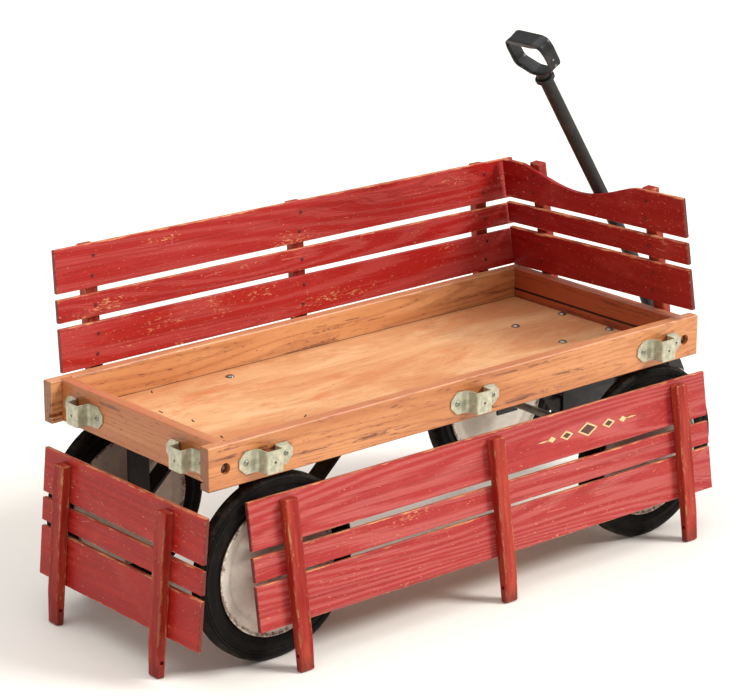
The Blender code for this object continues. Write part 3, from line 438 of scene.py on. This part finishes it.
def disc_material():
    """Cream wheel disc: grey dirt in the creases and rust creeping in from the rim."""
    sh = Shader("cream_wheel_disc")
    x, y, _ = sh.split(sh.coords)
    radius = sh.math("SQRT", sh.math("ADD", sh.math("MULTIPLY", x, x), sh.math("MULTIPLY", y, y)))
    mottle = sh.noise(sh.coords, 45, 5, 0.65)
    colour = sh.mix(sh.ramp(mottle, 0.35, 0.7), srgb(208, 198, 184), srgb(226, 218, 204))
    dirty = sh.noise(sh.coords, 120, 4, 0.7)
    colour = sh.mix(sh.math("MULTIPLY", sh.ramp(dirty, 0.6, 0.75), 0.45), colour, srgb(140, 128, 114))
    flecks = sh.ramp(sh.noise(sh.coords, 380, 3, 0.6), 0.70, 0.74)
    colour = sh.mix(flecks, colour, srgb(96, 66, 50))
    near_rim = sh.ramp(radius, 0.0800, 0.0965)
    creep = sh.ramp(sh.math("ADD", sh.math("MULTIPLY", near_rim, 0.35), dirty), 0.80, 0.92)
    colour = sh.mix(sh.math("MULTIPLY", creep, 0.85), colour, srgb(112, 72, 48))
    hub_dirt = sh.ramp(radius, 0.030, 0.014)
    colour = sh.mix(sh.math("MULTIPLY", hub_dirt, 0.5), colour, srgb(96, 84, 74))
    height = sh.math("SUBTRACT", mottle, creep)
    return sh.finish(colour, 0.42, 0.15, height, 0.0004, 0.4)


def tyre_material():
    """Old black rubber: brown dust in the tread and a scuffed sidewall."""
    sh = Shader("tyre_rubber")
    dust = sh.noise(sh.coords, 60, 5, 0.7)
    colour = sh.mix(sh.ramp(dust, 0.45, 0.75), srgb(15, 13, 12), srgb(32, 26, 21))
    specks = sh.ramp(sh.noise(sh.coords, 340, 3, 0.6), 0.68, 0.74)
    colour = sh.mix(sh.math("MULTIPLY", specks, 0.5), colour, srgb(96, 84, 72))
    x, y, _ = sh.split(sh.coords)
    radius = sh.math("SQRT", sh.math("ADD", sh.math("MULTIPLY", x, x), sh.math("MULTIPLY", y, y)))
    tread = sh.math("MULTIPLY", sh.ramp(radius, 0.1255, 0.1300), sh.ramp(dust, 0.4, 0.65))
    colour = sh.mix(sh.math("MULTIPLY", tread, 0.32), colour, srgb(84, 66, 50))
    return sh.finish(colour, 0.55, 0.0, sh.noise(sh.coords, 500, 3), 0.0003, 0.35, shine=0.10)


def handle_material(name, shine=0.32):
    """Black paint rubbed to brown on bare steel."""
    sh = Shader(name)
    wear = sh.noise(sh.coords, 38, 5, 0.7, 0.4)
    colour = sh.mix(sh.ramp(wear, 0.5, 0.72), srgb(25, 24, 25), srgb(54, 44, 38))
    nick = sh.ramp(sh.noise(sh.coords, 210, 3, 0.6), 0.68, 0.73)
    colour = sh.mix(sh.math("MULTIPLY", nick, 0.8), colour, srgb(132, 112, 96))
    rough = sh.math("ADD", shine, sh.math("MULTIPLY", wear, 0.25))
    return sh.finish(colour, rough, 0.25, wear, 0.0004, 0.4)


def plain_rough(name, colour_a, colour_b, scale, rough, metal=0.0, bump=0.3):
    sh = Shader(name)
    n = sh.noise(sh.coords, scale, 4, 0.6)
    colour = sh.mix(sh.ramp(n, 0.35, 0.65), colour_a, colour_b)
    return sh.finish(colour, rough, metal, n, 0.0002, bump)


# ---- mesh helpers -----------------------------------------------------------------
def new_piece(name, mesh, body, mat, matrix=None, replaces=()):
    obj = bpy.data.objects.new(name, mesh)
    bpy.context.scene.collection.objects.link(obj)
    if matrix is not None:
        obj.matrix_world = matrix
    mesh.materials.clear()
    mesh.materials.append(mat)
    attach(obj, body)
    if replaces:
        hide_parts(*replaces)
    return obj


def to_mesh(bm, name, smooth=35):
    bmesh.ops.recalc_face_normals(bm, faces=bm.faces)
    mesh = bpy.data.meshes.new(name)
    bm.to_mesh(mesh)
    bm.free()
    mesh.shade_smooth()
    if smooth is not None:
        mesh.set_sharp_from_angle(angle=math.radians(smooth))
    return mesh


def lathe(profile, steps, name, closed=True, smooth=35):
    """Turn (radius, height) points about local Z."""
    bm = bmesh.new()
    rings = []
    for i in range(steps):
        a = FULL_TURN * i / steps
        rings.append([bm.verts.new((r * math.cos(a), r * math.sin(a), h)) for r, h in profile])
    count = len(profile)
    last = count if closed else count - 1
    for i in range(steps):
        a, b = rings[i], rings[(i + 1) % steps]
        for j in range(last):
            k = (j + 1) % count
            bm.faces.new((a[j], b[j], b[k], a[k]))
    bmesh.ops.remove_doubles(bm, verts=bm.verts, dist=1e-6)
    return to_mesh(bm, name, smooth)


def rounded(points, radius, steps=3):
    """Round the corners of an open line of 2D points."""
    out = [points[0]]
    for a, b, c in zip(points, points[1:], points[2:]):
        a, b, c = Vector(a), Vector(b), Vector(c)
        r = min(radius, (a - b).length * 0.45, (c - b).length * 0.45)
        p, q = b + (a - b).normalized() * r, b + (c - b).normalized() * r
        for i in range(steps + 1):
            t = i / steps
            out.append(tuple(p * (1 - t) ** 2 + b * 2 * t * (1 - t) + q * t ** 2))
    out.append(points[-1])
    return out


def sweep(path, section, name, closed_path=False, frames=None, smooth=35):
    """Carry a closed section of (u, v) points along a path; frames give (u, v) axes per point."""
    bm = bmesh.new()
    rings = []
    for point, (u, v) in zip(path, frames):
        rings.append([bm.verts.new(Vector(point) + u * a + v * b) for a, b in section])
    n = len(section)
    pairs = list(zip(rings, rings[1:]))
    if closed_path:
        pairs.append((rings[-1], rings[0]))
    for a, b in pairs:
        for j in range(n):
            k = (j + 1) % n
            bm.faces.new((a[j], a[k], b[k], b[j]))
    if not closed_path:
        bm.faces.new(list(reversed(rings[0])))
        bm.faces.new(rings[-1])
    return to_mesh(bm, name, smooth)


# ---- wheels ---------------------------------------------------------------------
def ribbed_tread(radius, half, ribs=5):
    """Outer face of the tyre from +half to -half: ribs with narrow grooves between."""
    pts = []
    pitch = 2 * half / ribs
    for i in range(ribs):
        top = half - i * pitch
        edge = 0.0007
        pts += [(radius, top - edge), (radius, top - pitch + edge)]
        if i < ribs - 1:
            pts += [(radius - 0.0022, top - pitch + 0.0004), (radius - 0.0022, top - pitch - 0.0004)]
    return pts


def wheel_meshes():
    low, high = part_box("rear_left_wheel_tyre")
    r = (high.x - low.x) / 2
    half = (high.y - low.y) / 2
    rim = 0.0975
    side = [(r - 0.0009, half - 0.0050), (r - 0.0026, half - 0.0030), (r - 0.0055, half - 0.0012),
            (r - 0.0062, half - 0.0017), (r - 0.0069, half - 0.0007), (r - 0.0095, half - 0.0001),
            (r - 0.0102, half - 0.0009), (r - 0.0109, half), (r - 0.0140, half), (r - 0.0150, half - 0.0010),
            (r - 0.0210, half - 0.0009), (r - 0.0222, half - 0.0001), (r - 0.0240, half - 0.0001),
            (r - 0.0252, half - 0.0010), (r - 0.0285, half - 0.0014),
            (rim + 0.0035, half - 0.0030), (rim + 0.0008, 0.0090), (rim - 0.0028, 0.0060)]
    tread = ribbed_tread(r, half - 0.0052)
    profile = list(reversed(side)) + tread + [(a, -b) for a, b in side]
    tyre = lathe(profile, 96, "tyre", smooth=40)
    lip = rim
    face = [(lip - 0.0041, -0.0060), (lip - 0.0012, -0.0088), (lip - 0.0002, -0.0100),
            (lip - 0.0004, -0.0112),
            (lip - 0.0016, -0.0118), (lip - 0.0030, -0.0112), (lip - 0.0045, -0.0096),
            (lip - 0.0080, -0.0086), (0.0820, -0.0080), (0.0790, -0.0066), (0.0770, -0.0058),
            (0.0740, -0.0060), (0.0560, -0.0084), (0.0360, -0.0118), (0.0300, -0.0128),
            (0.0200, -0.0130), (0.0150, -0.0134), (0.0134, -0.0146), (0.0128, -0.0155),
            (0.0064, -0.0155)]
    disc = lathe(face + [(a, -b) for a, b in reversed(face)], 96, "disc", smooth=50)
    return tyre, disc


def build_wheels():
    tyre, disc = wheel_meshes()
    rubber = tyre_material()
    cream = disc_material()
    for end in ("rear", "front"):
        for side in ("left", "right"):
            name = end + "_" + side + "_wheel"
            low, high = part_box(name + "_tyre")
            centre = (low + high) / 2
            place = Matrix.Translation(centre) @ Matrix.Rotation(math.radians(90), 4, "X")
            new_piece("tyre_" + end + "_" + side, tyre, name, rubber, place, [name + "_tyre"])
            new_piece("disc_" + end + "_" + side, disc, name, cream, place, [name + "_disc"])


# ---- brackets ---------------------------------------------------------------------
def bracket_mesh():
    """A pressed steel pocket: rounded bends, chamfered ears and a drilled front plate."""
    depth = 0.0203
    t = 0.0016
    mid = t / 2 + 0.0003
    line = [(-0.0448, mid), (-0.0170, mid), (-0.0133, 0.0045), (-0.0133, depth + t / 2),
            (0.0133, depth + t / 2), (0.0133, 0.0045), (0.0170, mid), (0.0448, mid)]
    pts = rounded(line, 0.0021, 4)
    dense = [pts[0]]
    for a, b in zip(pts, pts[1:]):
        a, b = Vector(a), Vector(b)
        n = max(1, int((b - a).length / 0.0035))
        dense += [tuple(a.lerp(b, (i + 1) / n)) for i in range(n)]
    half = 0.0159
    cut = 0.0105
    bm = bmesh.new()
    rows = []
    levels = (-1.0, -0.93, 0.93, 1.0)
    for x, y in dense:
        reach = max(0.0, abs(x) - (0.0448 - cut))
        h = half - reach
        rows.append([bm.verts.new((x, y, h * k)) for k in levels])
    for a, b in zip(rows, rows[1:]):
        for j in range(len(levels) - 1):
            bm.faces.new((a[j], b[j], b[j + 1], a[j + 1]))
    mesh = to_mesh(bm, "bracket", None)
    obj = bpy.data.objects.new("bracket_shape", mesh)
    bpy.context.scene.collection.objects.link(obj)
    solid = obj.modifiers.new("sheet", "SOLIDIFY")
    solid.thickness = t
    solid.offset = 0
    edge = obj.modifiers.new("edges", "BEVEL")
    edge.width = 0.0003
    edge.segments = 2
    edge.limit_method = "ANGLE"
    edge.angle_limit = math.radians(50)
    cutter_mesh = bpy.data.meshes.new("drill")
    bm = bmesh.new()
    bmesh.ops.create_cone(bm, cap_ends=True, segments=20, radius1=0.0021, radius2=0.0021, depth=0.012)
    bm.transform(Matrix.Translation((0, depth, -0.001)) @ Matrix.Rotation(math.radians(90), 4, "X"))
    bm.to_mesh(cutter_mesh)
    bm.free()
    cutter = bpy.data.objects.new("drill", cutter_mesh)
    bpy.context.scene.collection.objects.link(cutter)
    hole = obj.modifiers.new("hole", "BOOLEAN")
    hole.object = cutter
    hole.operation = "DIFFERENCE"
    bpy.context.view_layer.update()
    graph = bpy.context.evaluated_depsgraph_get()
    out = bpy.data.meshes.new_from_object(obj.evaluated_get(graph))
    bpy.data.objects.remove(obj, do_unlink=True)
    bpy.data.objects.remove(cutter, do_unlink=True)
    out.shade_smooth()
    out.set_sharp_from_angle(angle=math.radians(40))
    return out


def screw_head(radius, height, slot_width, name):
    """A domed head with a cross-cut recess; base on z = 0."""
    profile = [(0.00001, height), (radius * 0.35, height * 0.97), (radius * 0.68, height * 0.80),
               (radius * 0.92, height * 0.42), (radius, height * 0.08), (radius, 0), (0.00001, 0)]
    mesh = lathe(profile, 24, name + "_dome", closed=False)
    obj = bpy.data.objects.new(name + "_work", mesh)
    bpy.context.scene.collection.objects.link(obj)
    cutters = []
    for size in ((radius * 1.15, slot_width, height * 1.2), (slot_width, radius * 1.15, height * 1.2)):
        bm = bmesh.new()
        bmesh.ops.create_cube(bm, size=1.0)
        bm.transform(Matrix.Translation((0, 0, height * 1.05)) @ Matrix.Diagonal((*size, 1)))
        cut_mesh = bpy.data.meshes.new(name + "_cut")
        bm.to_mesh(cut_mesh)
        bm.free()
        cutter = bpy.data.objects.new(name + "_cut", cut_mesh)
        bpy.context.scene.collection.objects.link(cutter)
        mod = obj.modifiers.new("recess", "BOOLEAN")
        mod.object = cutter
        cutters.append(cutter)
    bpy.context.view_layer.update()
    out = bpy.data.meshes.new_from_object(obj.evaluated_get(bpy.context.evaluated_depsgraph_get()))
    for item in (obj, *cutters):
        bpy.data.objects.remove(item, do_unlink=True)
    out.shade_smooth()
    out.set_sharp_from_angle(angle=math.radians(40))
    return out


OUTWARD = {"right": (0, -1, 0), "left": (0, 1, 0), "rear": (-1, 0, 0), "front": (1, 0, 0)}


def build_brackets():
    mesh = bracket_mesh()
    head = screw_head(0.0040, 0.0024, 0.0009, "bracket_screw")
    paint = metal_paint("bracket_paint", srgb(166, 165, 142), srgb(202, 197, 172), srgb(104, 72, 50),
                        rough=0.40, metal=0.35, scale=2.2)
    steel = plain_rough("screw_steel", srgb(120, 122, 112), srgb(170, 170, 156), 500, 0.35, 0.6)
    for node in sorted(n for n in NODES if n.startswith("stake_bracket_")):
        group = node.split("_")[2]
        out = Vector(OUTWARD[group])
        low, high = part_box(node)
        face = min(out.dot(low), out.dot(high))
        centre = (low + high) / 2
        centre -= out * (centre.dot(out) - face + 0.0003)
        z = Vector((0, 0, 1))
        basis = Matrix((out.cross(z), out, z)).transposed().to_4x4()
        tilt = Matrix.Rotation(math.radians(RNG.uniform(-0.8, 0.8)), 4, "Y")
        place = Matrix.Translation(centre) @ basis @ tilt
        new_piece("pocket_" + node[14:], mesh.copy(), "bed", paint, place, [node])
        for side in (-1, 1):
            seat = (Matrix.Translation((side * 0.0335, 0.0019, 0))
                    @ Matrix.Rotation(math.radians(-90), 4, "X")
                    @ Matrix.Rotation(RNG.uniform(0, 3), 4, "Z"))
            name = "pocket_screw_" + node[14:] + ("_a" if side < 0 else "_b")
            new_piece(name, head.copy(), "bed", steel, place @ seat)


# ---- pull handle --------------------------------------------------------------------
# the loop's strap across its width and thickness: dished outside, full inside
STRAP_SECTION = [(-1.0, -0.6), (-0.93, -1.0), (-0.5, -1.05), (0, -1.1), (0.5, -1.05), (0.93, -1.0),
                 (1.0, -0.6), (1.0, 0.6), (0.93, 1.0), (0.5, 0.75), (0, 0.55), (-0.5, 0.75),
                 (-0.93, 1.0), (-1.0, 0.6)]
STRAP_THICK = 0.0015


def build_handle():
    """Tube with a soft bend, collar, and a strap loop folded round to the collar."""
    black = handle_material("handle_black")
    pivot = Vector(JOINTS["handle_fold"]["pos_m"])
    centre_y = pivot.y
    bend = Vector((pivot.x - 0.0950, centre_y, pivot.z + 0.2010))
    lower = (bend - pivot).normalized()
    collar = Vector((pivot.x - 0.2893, centre_y, pivot.z + 0.5130))
    upper = (collar - bend).normalized()
    path = [pivot + lower * 0.0463]
    for i in range(1, 13):
        path.append((pivot + lower * 0.0463).lerp(bend - lower * 0.016, i / 12))
    a, c = bend - lower * 0.016, bend + upper * 0.016
    for i in range(1, 8):
        t = i / 8
        path.append(a * (1 - t) ** 2 + bend * 2 * t * (1 - t) + c * t ** 2)
    for i in range(13):
        path.append(c.lerp(collar + upper * 0.0120, i / 12))
    section = []
    for i in range(28):
        t = FULL_TURN * i / 28
        section.append((0.0108 * math.cos(t), 0.0104 * math.sin(t)))
    across = Vector((0, 1, 0))
    frames = []
    for i, p in enumerate(path):
        before = path[max(0, i - 1)]
        after = path[min(len(path) - 1, i + 1)]
        d = (after - before).normalized()
        frames.append((across, d.cross(across).normalized()))
    tube = sweep(path, section, "tube", frames=frames, smooth=60)
    new_piece("pull_tube", tube, "handle", black, None, ["handle_shaft"])

    ring = lathe([(0.0109, -0.0030), (0.0142, -0.0030), (0.0149, -0.0022), (0.0149, 0.0022),
                  (0.0142, 0.0030), (0.0109, 0.0030)], 40, "collar")
    normal = across.cross(upper)
    basis = Matrix((across, -normal, upper)).transposed().to_4x4()
    new_piece("collar_ring", ring, "handle", black,
              Matrix.Translation(collar) @ basis)

    half = 0.0386
    base = 0.0140
    loop = [(0.0, base), (0.0110, base), (half - 0.0030, 0.0262), (half, 0.0330), (half, 0.0580),
            (half - 0.0040, 0.0712), (half - 0.0130, 0.0753), (0.0, 0.0753)]
    right = rounded(loop, 0.0060, 5)
    full = right + [(-x, y) for x, y in reversed(right[1:-1])]
    dense = []
    for a2, b2 in zip(full, full[1:] + full[:1]):
        a2, b2 = Vector(a2), Vector(b2)
        n = max(1, int((b2 - a2).length / 0.004))
        dense += [a2.lerp(b2, i / n) for i in range(n)]
    bm = bmesh.new()
    rings = []
    count = len(dense)
    for i, p in enumerate(dense):
        d = (dense[(i + 1) % count] - dense[i - 1]).normalized()
        out2 = Vector((d.y, -d.x))
        level = max(0.0, min(1.0, (p.y - 0.050) / 0.022))
        wide = 0.0112 + 0.0011 * level
        crown = 0.0058 * level * max(0.0, 1 - (p.x / 0.034) ** 4)
        ring2 = []
        for u, v in STRAP_SECTION:
            lift = v * (STRAP_THICK + crown) if v < 0 else v * STRAP_THICK
            q = p + out2 * lift
            world = collar + across * q.x + upper * q.y + normal * (u * wide)
            ring2.append(bm.verts.new(world))
        rings.append(ring2)
    for a3, b3 in zip(rings, rings[1:] + rings[:1]):
        for j in range(len(a3)):
            k = (j + 1) % len(a3)
            bm.faces.new((a3[j], a3[k], b3[k], b3[j]))
    grip = to_mesh(bm, "grip_strap", 40)
    new_piece("loop_grip", grip, "handle", handle_material("grip_black", 0.25), None,
              ["handle_grip"])
    overlap = bmesh.new()
    bmesh.ops.create_cube(overlap, size=1.0)
    overlap.transform(Matrix.Diagonal((0.0016, 0.0205, 0.0150, 1)))
    bmesh.ops.bevel(overlap, geom=overlap.edges[:], offset=0.0005, segments=2, affect="EDGES")
    flap = to_mesh(overlap, "strap_flap")
    lap_basis = Matrix((across, normal, upper)).transposed().to_4x4()
    new_piece("strap_lap", flap, "handle", black,
              Matrix.Translation(collar - across * (half + 0.0004) + upper * 0.0365) @ lap_basis)
    for y in (0.0312, 0.0420):
        rivet = lathe([(0.00001, 0.0007), (0.0011, 0.0005), (0.0016, 0.0), (0.00001, 0.0)], 16,
                      "rivet", closed=False)
        turn = Matrix((normal, upper, -across)).transposed().to_4x4()
        tag = "rivet_" + str(int(y * 10000))
        metal = plain_rough(tag, srgb(120, 116, 112), srgb(180, 178, 170), 300, 0.35, 0.7)
        new_piece("strap_" + tag, rivet, "handle", metal,
                  Matrix.Translation(collar - across * (half + 0.0012) + upper * y) @ turn)
    paint_node("handle_fork", black)


# ---- wooden bed ---------------------------------------------------------------------
def build_bed():
    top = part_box("side_board_left")[1].z
    paint_node("side_board_right", board_material("board_right", "side_board_right", "X", 1, top, 0.85))
    paint_node("side_board_left", board_material("board_left", "side_board_left", "X", 3, top, 0.62, PALE))
    # the end boards get painted shade along the kerf at this level
    kerf = top - 0.0327
    rear_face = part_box("end_board_rear")[1].x
    front_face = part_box("end_board_front")[0].x
    paint_node("end_board_rear", board_material("board_rear", "end_board_rear", "Y", 5, top, 0.66,
                                                kerf=(kerf, rear_face, -1)))
    # the front board's darker tone is painted shade
    paint_node("end_board_front", board_material("board_front", "end_board_front", "Y", 7, top, 0.6, SHADE_DARKENED_TONE,
                                                 (kerf, front_face, 1)))
    paint_node("rear_cleat", board_material("board_cleat", "rear_cleat", "Y", 9, top + 1, 0.3))
    paint_node("floor_panel", floor_material())

    floor_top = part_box("floor_panel")[1].z
    # bolt heads on the floor
    dome = lathe([(0.00001, 0.0033), (0.0025, 0.0031), (0.0048, 0.0022), (0.0063, 0.0010), (0.0067, 0.0001),
                  (0.0067, 0.0), (0.00001, 0.0)], 32, "bolt_dome", closed=False)
    bolt_steel = plain_rough("bolt_head_steel", srgb(96, 90, 82), srgb(158, 152, 142), 420, 0.32, 0.8)
    spots = []
    for node in ("bolster_plate", "rear_brace_right", "rear_brace_left"):
        for v in NODES[node].data.vertices:
            if v.co.z > floor_top + 0.0028:
                if all((Vector((v.co.x, v.co.y)) - s).length > 0.01 for s in spots):
                    spots.append(Vector((v.co.x, v.co.y)))
    for i, s in enumerate(spots):
        new_piece("floor_bolt_" + str(i), dome.copy(), "bed", bolt_steel,
                  Matrix.Translation((s.x, s.y, floor_top + 0.0002)))
    # screws down in the corner counterbores
    head = screw_head(0.0048, 0.0028, 0.0011, "corner_screw")
    dark = plain_rough("corner_screw_steel", srgb(74, 58, 46), srgb(120, 100, 82), 480, 0.45, 0.6)
    hole_dark = plain_rough("counterbore_shadow", srgb(70, 36, 20), srgb(104, 58, 34), 300, 0.7)
    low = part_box("side_board_right")[0]
    depth = 0.0070
    end_low, end_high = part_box("end_board_rear")
    front_low, front_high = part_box("end_board_front")
    bracket_low, bracket_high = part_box("stake_bracket_right_1")
    z = (bracket_low.z + bracket_high.z) / 2
    xs = ((end_low.x + end_high.x) / 2, (front_low.x + front_high.x) / 2)
    left_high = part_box("side_board_left")[1]
    for i, x in enumerate(xs):
        for sign, face in ((-1, low.y), (1, left_high.y)):
            seat = Matrix.Translation((x, face - sign * (depth - 0.0002), z))
            turn = Matrix.Rotation(math.radians(-90 * sign), 4, "X") @ Matrix.Rotation(0.4 + i, 4, "Z")
            tag = str(i) + ("_r" if sign < 0 else "_l")
            new_piece("corner_screw_" + tag, head.copy(), "bed", dark, seat @ turn)
            ring = lathe([(0.0049, -0.0001), (0.0076, -0.0001), (0.0076, 0.0), (0.0049, 0.0)], 32, "seat")
            new_piece("counterbore_" + tag, ring, "bed", hole_dark, seat @ turn)
    # staples through the floor into the cleat below
    staple_mat = plain_rough("staple_steel", srgb(52, 40, 34), srgb(96, 84, 74), 400, 0.5, 0.5)
    cleat_low, cleat_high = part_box("rear_cleat")
    cx = (cleat_low.x + cleat_high.x) / 2
    cy = (cleat_low.y + cleat_high.y) / 2
    marks = [(0.011, 0.020, 70), (0.000, 0.079, 84), (0.042, 0.158, 60), (0.001, -0.058, 66),
             (0.142, -0.064, 40)]
    for i, (dx, dy, turn) in enumerate(marks):
        bm = bmesh.new()
        bmesh.ops.create_cube(bm, size=1.0)
        bm.transform(Matrix.Diagonal((0.0100, 0.0020, 0.0007, 1)))
        bmesh.ops.bevel(bm, geom=bm.edges[:], offset=0.0002, segments=2, affect="EDGES")
        m = (Matrix.Translation((cx + dx, cy + dy, floor_top + 0.0002))
             @ Matrix.Rotation(math.radians(turn), 4, "Z"))
        new_piece("staple_" + str(i), to_mesh(bm, "staple"), "bed", staple_mat, m)


def build_gear():
    black = metal_paint("chassis_black", srgb(26, 25, 26), srgb(40, 38, 38), srgb(110, 66, 40),
                        rough=0.42, metal=0.3, rust_at=0.64)
    for node in ("rear_axle_hanger", "rear_brace_right", "rear_brace_left", "bolster_plate",
                 "front_axle_hanger", "tongue", "tongue_yoke"):
        paint_node(node, black)
    bare = metal_paint("dull_steel", srgb(120, 114, 104), srgb(158, 152, 140), srgb(110, 70, 46),
                       rough=0.38, metal=0.75, scale=1.5, rust_at=0.6)
    for node in ("rear_axle", "front_axle", "kingpin", "handle_pivot_bolt"):
        paint_node(node, bare)


# ---- panels ---------------------------------------------------------------------------
PANELS = {
    "left": dict(out=(0, 1, 0), fresh=srgb(170, 26, 20), faded=srgb(180, 60, 56), chips=0.05),
    # the front panel's darker red is partly its own darker paint and partly painted shade of the bed corner
    "front": dict(out=(1, 0, 0), fresh=srgb(140, 5, 6), faded=srgb(148, 16, 14), chips=-0.03),
    "right": dict(out=(0, -1, 0), fresh=srgb(170, 44, 42), faded=srgb(184, 82, 78), chips=0.02),
    "rear": dict(out=(-1, 0, 0), fresh=srgb(160, 20, 13), faded=srgb(172, 38, 27), chips=0.03),
}


def nail_mesh():
    return lathe([(0.00001, 0.0004), (0.0012, 0.0004), (0.0019, 0.00015), (0.0024, 0.0), (0.00001, 0.0)], 16,
                 "nail", closed=False)


def build_panels():
    nail = nail_mesh()
    nail_dark = plain_rough("nail_dark", srgb(48, 20, 20), srgb(92, 30, 26), 700, 0.6)
    seed = 1
    for side, spec in PANELS.items():
        body = side + "_panel"
        out = Vector(spec["out"])
        slats = {}
        for level in ("bottom", "middle", "top"):
            seed += 1
            node = body + "_" + level + "_slat"
            mat = painted_slat(side + "_" + level + "_paint", node, out, seed * 3.1,
                               spec["fresh"], spec["faded"], spec["chips"])
            paint_node(node, mat)
            slats[level] = Slab(node, outward=out)
        stakes = sorted(n for n in NODES if n.startswith(body + "_stake_"))
        for node in stakes:
            seed += 1
            # the stakes' base red is partly their own paint and partly painted shade, set dark to match the
            # shade on their side faces
            mat = painted_stake(node + "_paint", node, out, seed * 2.3, srgb(140, 18, 13), srgb(178, 66, 46))
            paint_node(node, mat)
            centre = sum((v.co for v in NODES[node].data.vertices), Vector()) / len(NODES[node].data.vertices)
            for level, slab in slats.items():
                x = centre.dot(slab.x) - slab.low.x
                height = slab.size.z
                rows = (0.017, height - 0.017) if level != "middle" else (height / 2,)
                if level == "top" and side == "front":
                    rows = (0.017, 0.045)
                for k, z in enumerate(rows):
                    m = slab.matrix(x + (k * 0.004 - 0.002) * (len(rows) - 1), -0.0013, z)
                    turn = Matrix.Rotation(math.radians(90), 4, "X")
                    name = "nail_" + node + "_" + level + "_" + str(k)
                    new_piece(name, nail.copy(), body, nail_dark, m @ turn)


def build_ornament():
    """A plain painted motif on the loose side panel: a thin line with lozenges on it."""
    slab = Slab("right_panel_top_slat", outward=(0, -1, 0))
    cream = plain_rough("ornament_cream", srgb(214, 186, 124), srgb(228, 204, 148), 300, 0.5)
    brown = plain_rough("ornament_brown", srgb(78, 40, 34), srgb(96, 52, 44), 300, 0.5)
    middle = (0.2450, slab.size.y, slab.size.z * 0.47)

    def leaf(name, centre, wide, tall, lift, mat):
        bm = bmesh.new()
        corners = [(-wide / 2, 0), (0, -tall / 2), (wide / 2, 0), (0, tall / 2)]
        low = [bm.verts.new((x, 0, z)) for x, z in corners]
        high = [bm.verts.new((x * 0.97, lift, z * 0.97)) for x, z in corners]
        bm.faces.new(low)
        bm.faces.new(high[::-1])
        for i in range(4):
            k = (i + 1) % 4
            bm.faces.new((low[i], high[i], high[k], low[k]))
        place = slab.matrix(middle[0] + centre, middle[1], middle[2])
        new_piece(name, to_mesh(bm, name), "right_panel", mat, place)

    for i, (centre, wide, tall) in enumerate(((0, 0.040, 0.021), (-0.042, 0.026, 0.014),
                                              (0.042, 0.026, 0.014), (-0.071, 0.015, 0.009),
                                              (0.071, 0.015, 0.009))):
        leaf("ornament_leaf_" + str(i), centre, wide, tall, 0.00008, cream)
        if wide > 0.02:
            leaf("ornament_heart_" + str(i), centre, wide - 0.009, tall - 0.0052, 0.00014, brown)
    leaf("ornament_line_a", -0.088, 0.024, 0.0022, 0.00006, cream)
    leaf("ornament_line_b", 0.088, 0.024, 0.0022, 0.00006, cream)


# ---- stage ------------------------------------------------------------------------------
# wide enough that its edge stays out of sight in a low view
STUDIO_FLOOR_HALF = 400


def build_stage():
    floor = bpy.data.meshes.new("studio_floor")
    bm = bmesh.new()
    bmesh.ops.create_grid(bm, x_segments=2, y_segments=2, size=STUDIO_FLOOR_HALF)
    bm.to_mesh(floor)
    bm.free()
    obj = bpy.data.objects.new("studio_floor", floor)
    bpy.context.scene.collection.objects.link(obj)
    sh = Shader("studio_floor_white")
    n = sh.noise(sh.coords, 3.0, 4, 0.6)
    mat = sh.finish(sh.mix(n, srgb(243, 238, 229), srgb(247, 243, 236)), 0.6, 0.0, n, 0.0005, 0.05)
    floor.materials.append(mat)

    world = bpy.data.worlds.new("studio")
    bpy.context.scene.world = world
    world.use_nodes = True
    back = world.node_tree.nodes["Background"]
    back.inputs["Color"].default_value = (1.0, 0.995, 0.985, 1)
    back.inputs["Strength"].default_value = 0.33

    def soft_sun(name, origin, strength, spread, colour=(1, 1, 1)):
        """A broad, distant softbox that shines from the given point towards the wagon."""
        light = bpy.data.lights.new(name, "SUN")
        light.energy = strength
        light.angle = math.radians(spread)
        light.color = colour
        lamp = bpy.data.objects.new(name, light)
        bpy.context.scene.collection.objects.link(lamp)
        lamp.location = origin
        lamp.rotation_euler = (-Vector(origin)).to_track_quat("-Z", "Y").to_euler()

    soft_sun("key_right", (1.9, -2.0, 2.3), 2.95, 22, (1.0, 0.985, 0.96))
    soft_sun("fill_left", (-2.9, 1.0, 1.8), 0.22, 40)
    soft_sun("top_soft", (-0.3, 0.3, 3.0), 1.85, 70)

    cam_data = bpy.data.cameras.new("camera")
    cam = bpy.data.objects.new("camera", cam_data)
    bpy.context.scene.collection.objects.link(cam)
    cam_data.sensor_width = 36.0
    cam_data.lens = 139.23
    cam.location = (-2.6421, -3.01655, 1.6027)
    azimuth, down = math.radians(40.3927), math.radians(17.798)
    look = Vector((math.sin(azimuth) * math.cos(down), math.cos(azimuth) * math.cos(down), -math.sin(down)))
    cam.rotation_euler = look.to_track_quat("-Z", "Y").to_euler()
    bpy.context.scene.camera = cam
    bpy.context.scene.view_settings.view_transform = "Standard"


build_wheels()
build_brackets()
build_handle()
build_bed()
build_gear()
build_panels()
build_ornament()
build_stage()
